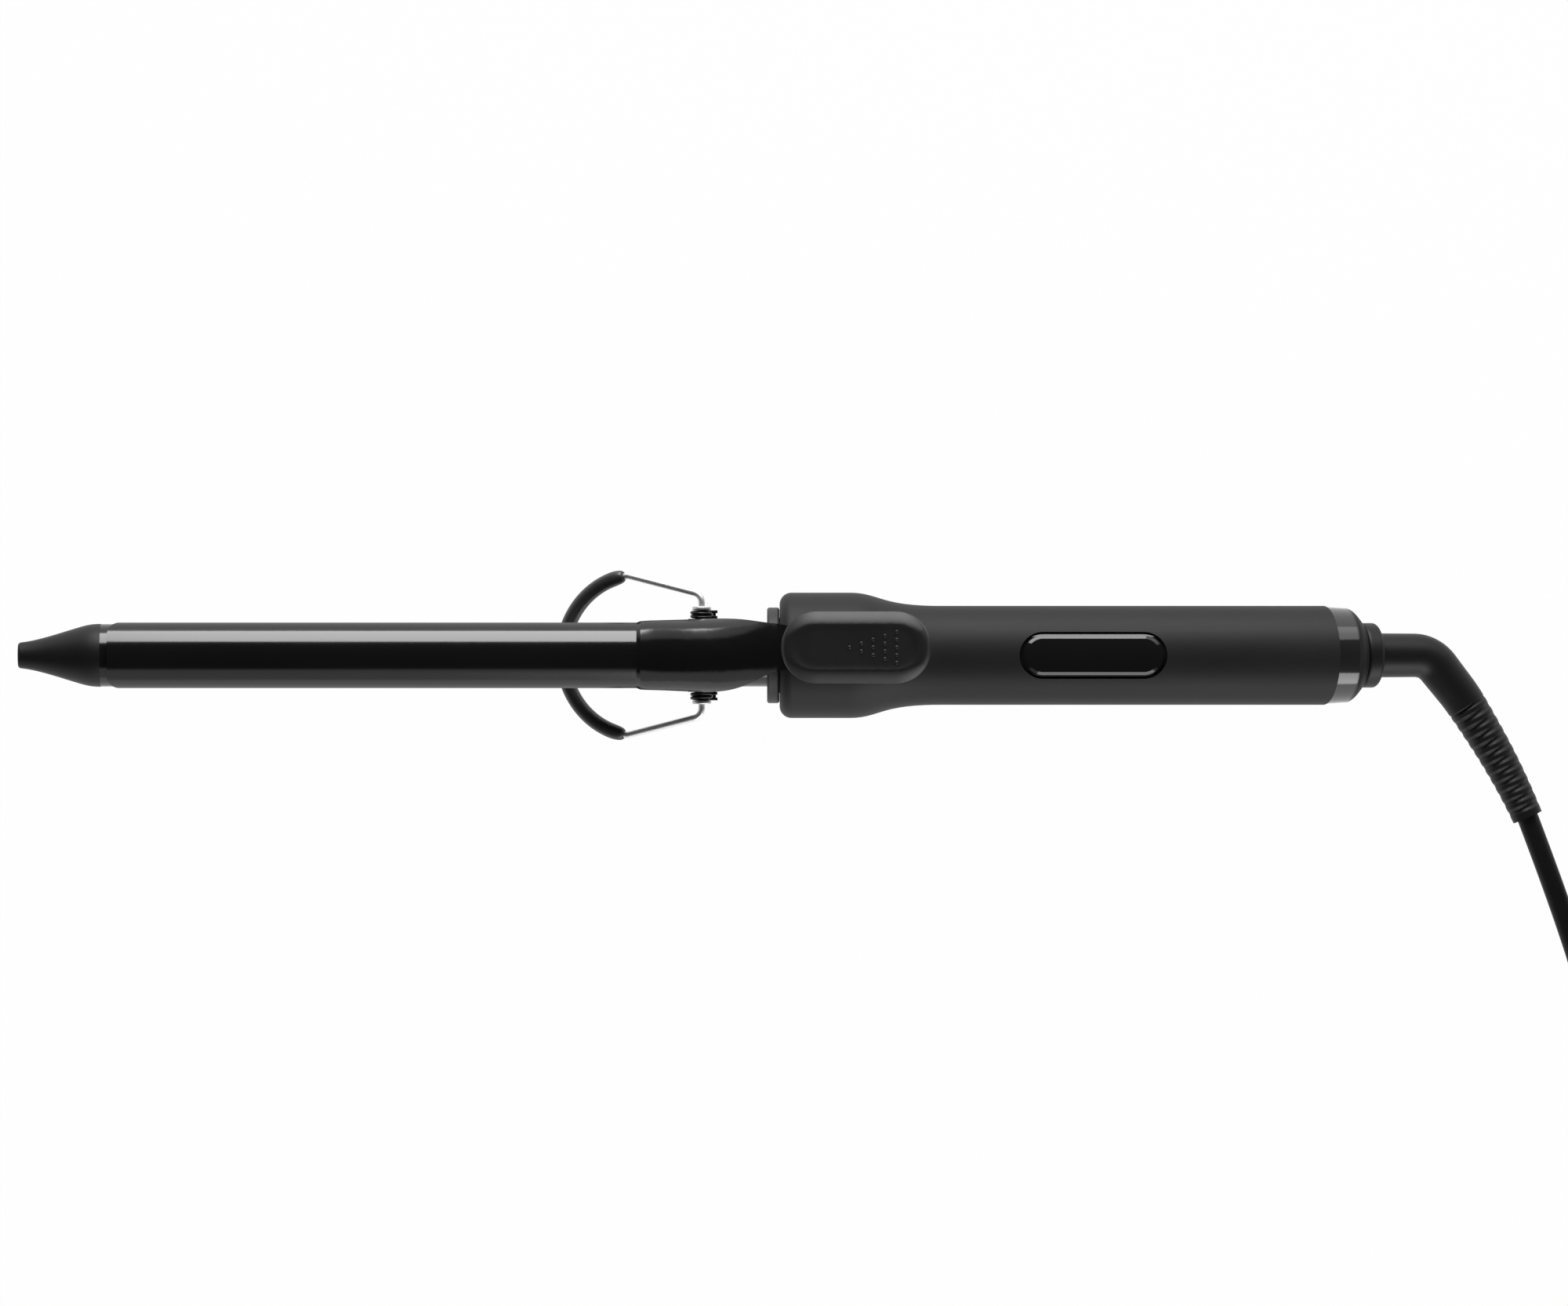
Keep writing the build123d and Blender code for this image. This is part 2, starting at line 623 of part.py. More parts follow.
def handle_upper_shell():
    inner_r = HANDLE_R - HANDLE_WALL
    shell = handle_body() & upper_space()
    window = extrude(lens_plan(LENS_GAP), HUB_D)
    seat_r = HANDLE_R - LENS_THICK - SEAT_GAP
    shell -= window - rod(0, HANDLE_REAR, seat_r)
    shell -= extrude(lens_plan(-LEDGE), HUB_D)
    board_top = BOARD_BOTTOM + BOARD_THICK + SEAT_GAP
    roof = rod(COLLAR_REAR, HANDLE_REAR, inner_r + HANDLE_WALL / 2)
    for x, y in post_places():
        shell += extrude(Pos(x, y, board_top) * Circle(POST_D / 2), HUB_D) & roof
    for x in boss_places():
        boss = extrude(Pos(x, 0, SEAT_GAP) * Circle(SCREW_D / 2 + BOSS_WALL), HUB_D) & roof
        shell += boss
        shell -= extrude(Pos(x, 0, -1) * Circle(SCREW_D / 2 + SEAT_GAP), inner_r * 0.75)
    return shell


def handle_lower_shell():
    inner_r = HANDLE_R - HANDLE_WALL
    shell = handle_body() & lower_space(-SEAT_GAP)
    floor = rod(COLLAR_REAR, HANDLE_REAR, inner_r + HANDLE_WALL / 2)
    for x in boss_places():
        wall = Circle(SCREW_HEAD_D / 2 + BOSS_WALL)
        shell += extrude(Pos(x, 0, -SEAT_GAP) * wall, -HUB_D) & floor
        shell -= extrude(Pos(x, 0, 1) * Circle(SCREW_D / 2 + SEAT_GAP), -HUB_D)
        shell -= extrude(Pos(x, 0, -inner_r / 2) * Circle(SCREW_HEAD_D / 2 + SEAT_GAP), -HUB_D)
    rear = contact_rear()
    cradle = REAR * block(rear - CRADLE, rear, -HUB_D, HUB_D, -HUB_D, HUB_D)
    cradle = cradle & rod(COLLAR_REAR, HANDLE_REAR, inner_r + HANDLE_WALL / 2) & lower_space(-SEAT_GAP)
    shell += cradle - REAR * rod(rear - CRADLE * 2, 1, CONTACT_D / 2 + SEAT_GAP)
    return shell


def handle_screws():
    seat = -(HANDLE_R - HANDLE_WALL) / 2
    reach = (HANDLE_R - HANDLE_WALL) * 0.6 - seat
    shank = extrude(Circle(SCREW_D / 2), reach)
    head = extrude(Circle(SCREW_HEAD_D / 2), -SCREW_HEAD)
    screw = shank + fillet(head.edges().sort_by(Axis.Z)[0], SCREW_HEAD / 3)
    return Compound([Pos(x, 0, seat - SEAT_GAP) * screw for x in boss_places()])


def display_lens():
    """A bevelled pane that stands in a rebate of its own flange."""
    reach = (LENS_FRONT - LENS_LENGTH, LENS_FRONT + LENS_LENGTH * 2)
    low = rod(*reach, HANDLE_R - LENS_THICK)
    flange = extrude(lens_plan(0), HUB_D) & rod(*reach, HANDLE_R - LENS_REBATE) - low
    pane = extrude(lens_plan(-LENS_MARGIN), HUB_D) & rod(*reach, HANDLE_R) - low
    crown = pane.faces().sort_by(Axis.Z)[-1]
    pane = chamfer(crown.edges(), LENS_BEVEL_WIDTH, LENS_BEVEL, reference=crown)
    return flange + pane


def circuit_board():
    half = BOARD_WIDTH / 2
    top = BOARD_BOTTOM + BOARD_THICK
    return block(BOARD_FRONT, BOARD_FRONT + BOARD_LENGTH, -half, half, BOARD_BOTTOM, top)


def display_module():
    low = BOARD_BOTTOM + BOARD_THICK + SEAT_GAP
    half = MODULE_WIDTH / 2
    roof = ((HANDLE_R - LENS_THICK) ** 2 - half**2) ** 0.5 - SEAT_GAP
    middle = LENS_FRONT + LENS_LENGTH / 2
    box = block(middle - MODULE_LENGTH / 2, middle + MODULE_LENGTH / 2, -half, half, low, roof)
    return chamfer(box.edges().filter_by(Axis.Z), LENS_REBATE)


def touch_pads():
    low = BOARD_BOTTOM + BOARD_THICK + SEAT_GAP
    roof = ((HANDLE_R - LENS_THICK) ** 2 - (TOUCH_D / 2) ** 2) ** 0.5 - SEAT_GAP
    middle = LENS_FRONT + LENS_LENGTH / 2
    reach = MODULE_LENGTH / 2 + TOUCH_D / 2 + 1
    pad = Cylinder(TOUCH_D / 2, roof - low)
    return Compound([Pos(middle + side * reach, 0, (low + roof) / 2) * pad for side in (-1, 1)])


def mains_wires():
    side = HEATER_WIDTH / 2 - WIRE_D / 2
    height = BOARD_BOTTOM - SEAT_GAP - WIRE_D / 2
    front = BOARD_FRONT + BOARD_LENGTH - BOSS_WALL * 4
    rear = HANDLE_REAR + contact_rear() - SPINDLE_LENGTH - CRADLE
    return both_sides(rod(front, rear, WIRE_D / 2, side, height))


# Rear end: ring, swivel and the contacts inside, drawn along X in the dipped frame

def contact_rear():
    """Where the contact block starts behind the swivel's flange."""
    return -SPIGOT_LENGTH - MOVE_GAP - FLANGE - MOVE_GAP


def ring_slice(s, radius, stretch):
    return Plane.YZ.offset(s) * Ellipse(radius, radius * stretch)


def end_ring():
    """A short, nearly straight ring with a rounded shoulder down to the swivel collar."""
    stretch = 1 / cos(radians(REAR_TILT))
    waist = RING_WAIST_D / 2
    mouth = RING_MOUTH_D / 2
    start = RING_LENGTH - RING_SHOULDER
    body = loft([ring_slice(SEAT_GAP, RING_D / 2, stretch), ring_slice(start, waist, 1)], ruled=True)
    shares = (0.0, 0.25, 0.5, 0.75, 1.0)
    body += loft(
        [ring_slice(start + RING_SHOULDER * u, mouth + (waist - mouth) * (1 - u**1.5), 1) for u in shares]
    )
    body += rod(-SPIGOT_LENGTH, SEAT_GAP * 2, SPIGOT_D / 2)
    return REAR * (body - rod(-SPIGOT_LENGTH - 1, RING_LENGTH + 1, SWIVEL_D / 2 + RUN_GAP))


def swivel_spindle():
    flange_front = -SPIGOT_LENGTH - MOVE_GAP
    bearing = rod(flange_front, COLLAR_S + SWIVEL_SOCKET, SWIVEL_D / 2)
    flange = rod(flange_front - FLANGE, flange_front, FLANGE_D / 2)
    spindle = rod(flange_front - FLANGE - SPINDLE_LENGTH, flange_front - FLANGE, SPINDLE_D / 2)
    return REAR * (bearing + flange + spindle)


def slip_ring_places():
    first = contact_rear() - SLIP_RING_WIDTH
    return [first, first - SLIP_RING_SPACING]


def slip_rings():
    rings = []
    for s in slip_ring_places():
        half = SLIP_RING_WIDTH / 2
        rings.append(REAR * tube(s - half, s + half, SLIP_RING_D / 2, SPINDLE_D / 2 + SEAT_GAP))
    return Compound(rings)


def brush_space(s, clearance):
    half = BRUSH_WIDTH / 2 + clearance
    long_half = SLIP_RING_WIDTH / 2 + clearance
    return block(s - long_half, s + long_half, -half, half, SLIP_RING_D / 2 + SHEET_GAP - clearance, CONTACT_D / 2)


def contact_block():
    rear = contact_rear()
    front = rear - SPINDLE_LENGTH
    block_ring = tube(front, rear, CONTACT_D / 2, CONTACT_D / 2 - CONTACT_WALL)
    for s in slip_ring_places():
        block_ring -= brush_space(s, SEAT_GAP)
    return REAR * block_ring


def brush_contacts():
    outside = rod(contact_rear() - SPINDLE_LENGTH, contact_rear(), CONTACT_D / 2)
    return Compound([REAR * (brush_space(s, 0) & outside) for s in slip_ring_places()])


def swivel_collar():
    rear = COLLAR_S + SWIVEL_COLLAR
    ring = rod(COLLAR_S, rear, SWIVEL_COLLAR_D / 2)
    ring = fillet(ring.edges(), SWIVEL_COLLAR / 4)
    ring -= rod(COLLAR_S - 1, COLLAR_S + SWIVEL_SOCKET + SEAT_GAP, SWIVEL_D / 2 + SEAT_GAP)
    return REAR * (ring - rod(COLLAR_S, rear + 1, BOOT_ELBOW_D / 2))


# Strain relief: X along the swivel axis, Y towards the cord's side, then rolled and dipped

def boot_frame():
    return REAR * Rot(180 - BOOT_ROLL, 0, 0)


def boot_point(distance):
    """Place and heading, in degrees, at a distance along the boot's middle line."""
    bend_length = BOOT_BEND_R * radians(BOOT_BEND)
    reach_r = BOOT_REACH / radians(BOOT_REACH_TURN)
    turn = min(max(distance - BOOT_STRAIGHT, 0) / BOOT_BEND_R, radians(BOOT_BEND))
    angle = turn + max(distance - BOOT_STRAIGHT - bend_length, 0) / reach_r
    s = BOOT_S + min(distance, BOOT_STRAIGHT) + BOOT_BEND_R * sin(turn)
    s += reach_r * (sin(angle) - sin(turn))
    w = BOOT_BEND_R * (1 - cos(turn)) + reach_r * (cos(turn) - cos(angle))
    return s, w, degrees(angle)


def boot_length():
    return BOOT_STRAIGHT + BOOT_BEND_R * radians(BOOT_BEND) + BOOT_REACH


def boot_slice(distance, diameter):
    s, w, heading = boot_point(distance)
    along = (cos(radians(heading)), sin(radians(heading)), 0)
    return Plane((s, w, 0), x_dir=(0, 0, 1), z_dir=along) * Circle(diameter / 2)


def strain_relief():
    total = boot_length()
    ribs_start = total - RIB_COUNT * RIB_PITCH
    bend = BOOT_BEND_R * radians(BOOT_BEND)
    bend_end = BOOT_STRAIGHT + bend
    neck = loft([boot_slice(0, BOOT_NECK_D), boot_slice(BOOT_STRAIGHT, BOOT_ELBOW_D)], ruled=True)
    elbow = loft([boot_slice(BOOT_STRAIGHT + bend * share, BOOT_ELBOW_D) for share in (0, 0.25, 0.5, 0.75, 1)])
    middle = (bend_end + ribs_start) / 2
    leg_widths = [(bend_end, BOOT_ELBOW_D), (middle, (BOOT_ELBOW_D + BOOT_RIB_D) / 2), (ribs_start, BOOT_RIB_D)]
    leg = loft([boot_slice(d, width) for d, width in leg_widths], ruled=True)
    ribs = []
    for rib in range(RIB_COUNT):
        start = ribs_start + rib * RIB_PITCH
        width = BOOT_RIB_D + (BOOT_END_D - BOOT_RIB_D) * (rib + 0.5) / RIB_COUNT
        groove = width - RIB_DEPTH * 2
        for share, diameter in ((0.0, groove), (0.1, width), (0.8, width), (0.9, groove)):
            ribs.append(boot_slice(start + share * RIB_PITCH, diameter))
    ribs.append(boot_slice(total, BOOT_END_D - RIB_DEPTH * 2))
    ribbed = loft(ribs, ruled=True)
    plug = rod(COLLAR_S + SWIVEL_SOCKET + SEAT_GAP * 2, BOOT_S, BOOT_ELBOW_D / 2 - SEAT_GAP)
    return boot_frame() * (plug + neck + elbow + leg + ribbed)


# Cord: a lead out of the boot, a put-away coil of two layers, and a tail to the plug

def boot_exit():
    """The middle of the boot's end and its heading, in the iron's frame."""
    s, w, heading = boot_point(boot_length())
    frame = boot_frame()
    here = (frame * Pos(s, w, 0)).position
    ahead = (frame * Pos(s, w, 0) * Rot(0, 0, heading) * Pos(1, 0, 0)).position
    return here, (ahead - here).normalized()


def lead_points():
    here, heading = boot_exit()
    end = Vector(*LEAD_END, COIL_LOW_Z)
    back = Vector(cos(radians(LEAD_ANGLE)), sin(radians(LEAD_ANGLE)), 0) * LEAD_RUN
    return [here + heading * CORD_GAP, end - back, end]


def coil_radii():
    """Radius of each half turn: in on the lower layer, a climbing half turn, and out on the upper."""
    step = COIL_PITCH / 2
    down = [COIL_OUTER_R - step * i for i in range(COIL_LAYER_HALF_TURNS)]
    return down + [COIL_OUTER_R - step * COIL_LAYER_HALF_TURNS] + down[::-1]


def coil_turns():
    """Start, middle and end of each half turn of the coil."""
    heading = radians(LEAD_ANGLE)
    forward = Vector(cos(heading), sin(heading), 0)
    inward = Vector(-sin(heading), cos(heading), 0)
    place = Vector(*LEAD_END, COIL_LOW_Z)
    turns = []
    for index, radius in enumerate(coil_radii()):
        rise = COIL_PITCH if index == COIL_LAYER_HALF_TURNS else 0.0
        bulge = hypot(radius, rise / 2)
        centre = place + inward * radius + Vector(0, 0, rise / 2)
        end = place + inward * radius * 2 + Vector(0, 0, rise)
        turns.append((place, centre + forward * bulge, end, centre))
        place = end
        forward, inward = forward * -1, inward * -1
    return turns, forward


def lead_tube(points):
    """A round cord along straight runs, with each corner as wide as its runs allow."""
    radii = []
    for before, corner, after in zip(points, points[1:], points[2:]):
        turn = (corner - before).get_angle(after - corner)
        run = min((corner - before).length, (after - corner).length)
        radii.append(0.45 * run / tan(radians(turn / 2)))
    print("cord radii", [round(radius, 1) for radius in radii])
    path = FilletPolyline(*points, radius=radii)
    section = Plane(path @ 0, z_dir=path % 0) * Circle(CORD_D / 2)
    cord = sweep(section, path)
    share = cord.volume / (path.length * section.area)
    print("cord length", round(path.length, 1), "volume share", round(share, 4))
    return cord


def cord_lead():
    return lead_tube(lead_points())


def coil_path():
    turns, forward = coil_turns()
    return Wire([ThreePointArc(start, middle, end) for start, middle, end, centre in turns])


def cord_coil():
    path = coil_path()
    section = Plane(path @ 0, z_dir=path % 0) * RegularPolygon(CORD_D / 2, COIL_SIDES)
    print("coil length", round(path.length, 1))
    return sweep(section, path)


def least_gap(path, diameter, near):
    """The least gap of a wound tube to itself, over points further apart along it than near."""
    count = int(path.length / (diameter / 2))
    points = [path @ (i / count) for i in range(count + 1)]
    skip = int(near / (path.length / count))
    gaps = [(a - b).length for i, a in enumerate(points) for b in points[i + skip:]]
    return min(gaps) - diameter


def tail_points():
    turns, forward = coil_turns()
    place = turns[-1][2]
    points = [place]
    heading = degrees(atan2(forward.Y, forward.X))
    for turn, drop in ((0, 0), (TAIL_TURNS[0], place.Z - PLUG_Z), (TAIL_TURNS[1], 0)):
        heading -= turn
        ahead = Vector(cos(radians(heading)), sin(radians(heading)), 0)
        points.append(points[-1] + ahead * TAIL_RUN - Vector(0, 0, drop))
    return points


def cord_tail():
    return lead_tube(tail_points())


def cord_tie():
    """A strap round the turns on the coil's far side, where each layer has the same turns."""
    turns, forward = coil_turns()
    middle, low_centre, high_centre = turns[1][1], turns[1][3], turns[-2][3]
    outer = (middle - low_centre).length
    outward = (middle - low_centre).normalized()
    inner = COIL_OUTER_R - COIL_PITCH / 2 * (COIL_LAYER_HALF_TURNS - 1)
    slack = CORD_D / 2 + CORD_GAP
    sideways = TIE_WIDTH / 2 + (low_centre - high_centre).length / 2
    inner_curve = sideways**2 / 2 / (inner - slack * 2)
    width = outer - inner + slack * 2 + inner_curve
    height = COIL_PITCH + CORD_D + CORD_GAP * 2
    place = (low_centre + high_centre) * 0.5 + outward * (outer + slack - width / 2)
    plane = Plane(
        (place.X, place.Y, COIL_LOW_Z + COIL_PITCH / 2),
        x_dir=(outward.X, outward.Y, 0),
        z_dir=(-outward.Y, outward.X, 0),
    )
    hole = RectangleRounded(width, height, TIE_THICK)
    band_face = RectangleRounded(width + TIE_THICK * 2, height + TIE_THICK * 2, TIE_THICK * 2) - hole
    return extrude(plane * band_face, TIE_WIDTH / 2, both=True)


def plug_frame():
    """The plug's own frame at the end of the tail, with X along the way that its pins point."""
    before, end = tail_points()[-2:]
    return Pos(end.X, end.Y, PLUG_Z) * Rot(0, 0, degrees(atan2(end.Y - before.Y, end.X - before.X)))


def plug_slice(x, width, thick):
    return Plane.YZ.offset(x) * RectangleRounded(width, thick, min(width, thick) * 0.3)


def plug_body():
    shoulder = PLUG_NECK + PLUG_LENGTH
    neck = loft(
        [Plane.YZ.offset(0) * Circle(PLUG_NECK_D * 0.45), Plane.YZ.offset(PLUG_NECK) * Circle(PLUG_NECK_D / 2)]
    )
    grip = loft(
        [
            plug_slice(PLUG_NECK, PLUG_NECK_D * 1.3, PLUG_NECK_D),
            plug_slice(PLUG_NECK + PLUG_LENGTH * 0.35, PLUG_WIDTH * 0.8, PLUG_THICK * 0.86),
            plug_slice(PLUG_NECK + PLUG_LENGTH * 0.7, PLUG_WIDTH, PLUG_THICK),
            plug_slice(shoulder, PLUG_FACE_WIDTH, PLUG_THICK * 0.94),
        ],
        ruled=True,
    )
    body = neck + grip
    for side in (-1, 1):
        hole = rod(shoulder - PIN_EMBED, shoulder + 1, PIN_ROOT_D / 2 + SEAT_GAP, side * PIN_SPACING / 2)
        body -= hole
    return plug_frame() * body


def plug_pins():
    face = PLUG_NECK + PLUG_LENGTH
    pins = []
    for side in (-1, 1):
        pin = rod(face, face + PIN_LENGTH, PIN_D / 2, side * PIN_SPACING / 2)
        pin = fillet(pin.edges().sort_by(Axis.X)[-1], PIN_TIP_ROUND)
        pin += rod(face - PIN_EMBED + SEAT_GAP, face, PIN_ROOT_D / 2, side * PIN_SPACING / 2)
        pins.append(plug_frame() * pin)
    return Compound(pins)


BODY = {
    "barrel_tube": barrel_tube(),
    "cool_tip": cool_tip(),
    "heater_upper_half": heater_half(1),
    "heater_lower_half": heater_half(-1),
    "ceramic_heater": ceramic_heater(),
    "temperature_sensor": temperature_sensor(),
    "thermal_fuse": thermal_fuse(),
    "heater_leads": heater_leads(),
    "pivot_bracket": pivot_bracket(),
    "pivot_studs": pivot_studs(),
    "spring_bushes": spring_bushes(),
    "torsion_spring_left": torsion_spring(1),
    "torsion_spring_right": torsion_spring(-1),
    "clamp_blade": clamp_blade(),
    "thumb_lever": thumb_lever(),
    "lever_rivets": lever_rivets(),
    "stand_wire": stand_wire(),
    "stand_sleeve": stand_sleeve(),
    "barrel_collar": barrel_collar(),
    "handle_upper_shell": handle_upper_shell(),
    "handle_lower_shell": handle_lower_shell(),
    "handle_screws": handle_screws(),
    "display_lens": display_lens(),
    "display_module": display_module(),
    "touch_pads": touch_pads(),
    "circuit_board": circuit_board(),
    "mains_wires": mains_wires(),
    "end_ring": end_ring(),
    "contact_block": contact_block(),
    "brush_contacts": brush_contacts(),
    "swivel_spindle": swivel_spindle(),
    "slip_rings": slip_rings(),
    "swivel_collar": swivel_collar(),
}
CORD = {
    "strain_relief": strain_relief(),
    "cord_lead": cord_lead(),
    "cord_coil": cord_coil(),
    "cord_tail": cord_tail(),
    "cord_tie": cord_tie(),
    "plug_body": plug_body(),
    "plug_pins": plug_pins(),
}

low_x = -BARREL_FRONT - TIP_LENGTH
high_x = BODY["swivel_collar"].bounding_box().max.X
on_floor = Pos(-(low_x + high_x) / 2, 0, -FLOOR)
print("moved by", on_floor.position)
print("stand angle", round(STAND_ANGLE, 3))
print("boot exit", boot_exit())
print("least spring gap", round(least_gap(spring_path(), SPRING_WIRE, SPRING_R * 3), 3))
print("least coil gap", round(least_gap(coil_path(), CORD_D, COIL_OUTER_R), 3))

os.makedirs("parts", exist_ok=True)
for name, shape in {**BODY, **CORD}.items():
    export_step(on_floor * shape, f"parts/{name}.step")
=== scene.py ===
"""Dresses the curling iron: its coated, moulded, plated and rubber surfaces, its mains lead,
and a plain studio.
"""

from math import atan2, cos, hypot, pi, radians, sin, tan

import bpy
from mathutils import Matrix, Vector
from mathutils.kdtree import KDTree


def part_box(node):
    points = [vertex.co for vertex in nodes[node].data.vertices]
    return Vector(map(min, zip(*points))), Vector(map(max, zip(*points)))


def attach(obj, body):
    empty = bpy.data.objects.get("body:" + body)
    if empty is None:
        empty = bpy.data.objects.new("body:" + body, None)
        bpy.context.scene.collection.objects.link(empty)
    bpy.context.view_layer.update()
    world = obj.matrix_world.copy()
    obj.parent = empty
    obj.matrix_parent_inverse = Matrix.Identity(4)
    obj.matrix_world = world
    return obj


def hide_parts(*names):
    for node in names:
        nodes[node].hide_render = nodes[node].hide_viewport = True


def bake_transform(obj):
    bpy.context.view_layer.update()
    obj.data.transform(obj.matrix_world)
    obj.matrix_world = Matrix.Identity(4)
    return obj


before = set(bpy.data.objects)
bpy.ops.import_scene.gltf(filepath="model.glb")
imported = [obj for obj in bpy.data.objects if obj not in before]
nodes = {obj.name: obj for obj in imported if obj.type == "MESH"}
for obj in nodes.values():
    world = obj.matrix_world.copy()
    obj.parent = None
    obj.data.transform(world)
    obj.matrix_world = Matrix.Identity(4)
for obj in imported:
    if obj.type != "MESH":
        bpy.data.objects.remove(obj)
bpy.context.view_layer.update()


# Heater core
# Two extruded aluminium half rounds press a white ceramic heater plate against the bore of the barrel.
# A glass sensor and a fuse lie in grooves of the halves, and two sleeved wires run back to the handle.

def shader_node(tree, kind, values=None, **settings):
    """Adds a shader node; values go to its sockets, as numbers or as links from other sockets."""
    node = tree.nodes.new("ShaderNode" + kind)
    for key, value in settings.items():
        setattr(node, key, value)
    for socket, value in (values or {}).items():
        if isinstance(value, bpy.types.NodeSocket):
            tree.links.new(value, node.inputs[socket])
        else:
            node.inputs[socket].default_value = value
    return node


def effect_group(name, inputs, outputs):
    """A shader node group with plain number sockets."""
    group = bpy.data.node_groups.new(name, "ShaderNodeTree")
    for socket, value in inputs.items():
        made = group.interface.new_socket(socket, in_out="INPUT", socket_type="NodeSocketFloat")
        made.default_value = value
    for socket in outputs:
        group.interface.new_socket(socket, in_out="OUTPUT", socket_type="NodeSocketFloat")
    return group, group.nodes.new("NodeGroupInput").outputs, group.nodes.new("NodeGroupOutput").inputs


def new_finish(name, **plain):
    """An empty material with its shader, whose plain sockets are set by name."""
    material = bpy.data.materials.new(name)
    material.use_nodes = True
    shader = material.node_tree.nodes["Principled BSDF"]
    for socket, value in plain.items():
        shader.inputs[socket.replace("_", " ").title().replace("Ior", "IOR")].default_value = value
    return material, material.node_tree, shader


def tone_between(tree, mask, dark, light):
    """Colour that runs from dark to light as the mask goes from 0 to 1."""
    ramp = shader_node(tree, "ValToRGB", {"Fac": mask})
    ramp.color_ramp.elements[0].color = (*dark, 1)
    ramp.color_ramp.elements[1].color = (*light, 1)
    return ramp.outputs["Color"]


def spread(tree, mask, low, high):
    """Number that runs from low to high as the mask goes from 0 to 1."""
    return shader_node(tree, "MapRange", {"Value": mask, "To Min": low, "To Max": high}).outputs["Result"]


def dress(material, *names):
    """Gives CAD nodes their finish."""
    for name in names:
        nodes[name].data.materials.clear()
        nodes[name].data.materials.append(material)


metal_lines, given, out = effect_group("metal_lines", {"Lines Per Metre": 2500.0}, ["Lines", "Tarnish"])
place = shader_node(metal_lines, "TexCoord").outputs["Object"]
along_x = shader_node(metal_lines, "Mapping", {"Vector": place, "Scale": (0.02, 1, 1)}).outputs["Vector"]
fine = shader_node(metal_lines, "TexNoise", {"Vector": along_x, "Scale": given[0], "Detail": 3})
slow = shader_node(metal_lines, "TexNoise", {"Vector": place, "Scale": 60, "Detail": 4})
metal_lines.links.new(fine.outputs["Fac"], out["Lines"])
metal_lines.links.new(slow.outputs["Fac"], out["Tarnish"])


def bare_metal(name, dark, light, smooth, dull, lines=2500.0, depth=2e-6):
    """Metal with drawn lines along the iron and a slow change of tone."""
    material, tree, shader = new_finish(name, metallic=1.0)
    skin = shader_node(tree, "Group", {}, node_tree=metal_lines)
    skin.inputs["Lines Per Metre"].default_value = lines
    bump = shader_node(tree, "Bump", {"Height": skin.outputs["Lines"], "Distance": depth})
    tree.links.new(tone_between(tree, skin.outputs["Tarnish"], dark, light), shader.inputs["Base Color"])
    tree.links.new(spread(tree, skin.outputs["Lines"], smooth, dull), shader.inputs["Roughness"])
    tree.links.new(bump.outputs["Normal"], shader.inputs["Normal"])
    return material


moulded_skin, given, out = effect_group(
    "moulded_skin", {"Grain Per Metre": 3000.0, "Blotch Per Metre": 60.0}, ["Grain", "Blotch"]
)
place = shader_node(moulded_skin, "TexCoord").outputs["Object"]
fine = shader_node(moulded_skin, "TexNoise", {"Vector": place, "Scale": given[0], "Detail": 2})
slow = shader_node(
    moulded_skin, "TexNoise", {"Vector": place, "Scale": given[1], "Detail": 5, "Roughness": 0.6}
)
moulded_skin.links.new(fine.outputs["Fac"], out["Grain"])
moulded_skin.links.new(slow.outputs["Fac"], out["Blotch"])


def moulded(name, dark, light, smooth, dull, grain=3000.0, depth=1e-5, blotch=60.0, **plain):
    """Moulded plastic, rubber or ceramic: a fine grain, and slow changes of tone and gloss."""
    material, tree, shader = new_finish(name, **plain)
    skin = shader_node(tree, "Group", {}, node_tree=moulded_skin)
    skin.inputs["Grain Per Metre"].default_value = grain
    skin.inputs["Blotch Per Metre"].default_value = blotch
    bump = shader_node(tree, "Bump", {"Height": skin.outputs["Grain"], "Distance": depth})
    tree.links.new(tone_between(tree, skin.outputs["Blotch"], dark, light), shader.inputs["Base Color"])
    tree.links.new(spread(tree, skin.outputs["Blotch"], smooth, dull), shader.inputs["Roughness"])
    tree.links.new(bump.outputs["Normal"], shader.inputs["Normal"])
    return material


aluminium = bare_metal("heater_aluminium", (0.55, 0.55, 0.57), (0.68, 0.68, 0.7), 0.3, 0.5)
white_ceramic = moulded("heater_ceramic", (0.72, 0.7, 0.65), (0.85, 0.84, 0.8), 0.6, 0.8, grain=6000.0)
sensor_glass = moulded("sensor_glass", (0.25, 0.08, 0.03), (0.4, 0.14, 0.06), 0.1, 0.2, grain=1500.0)
fuse_case = bare_metal("fuse_case", (0.6, 0.58, 0.52), (0.75, 0.73, 0.68), 0.25, 0.4)
sleeving = moulded(
    "glass_fibre_sleeving", (0.6, 0.58, 0.52), (0.75, 0.73, 0.68), 0.8, 0.95, grain=4000.0, depth=6e-5
)
dress(aluminium, "heater_upper_half", "heater_lower_half")
dress(white_ceramic, "ceramic_heater")
dress(sensor_glass, "temperature_sensor")
dress(fuse_case, "thermal_fuse")
dress(sleeving, "heater_leads", "mains_wires")


# Barrel and clamp coat
# The barrel is a drawn steel tube, and the clamp a pressed sheet that hugs its upper side.
# Both are sprayed with the same gloss black ceramic coat and fired, which leaves a faint ripple.

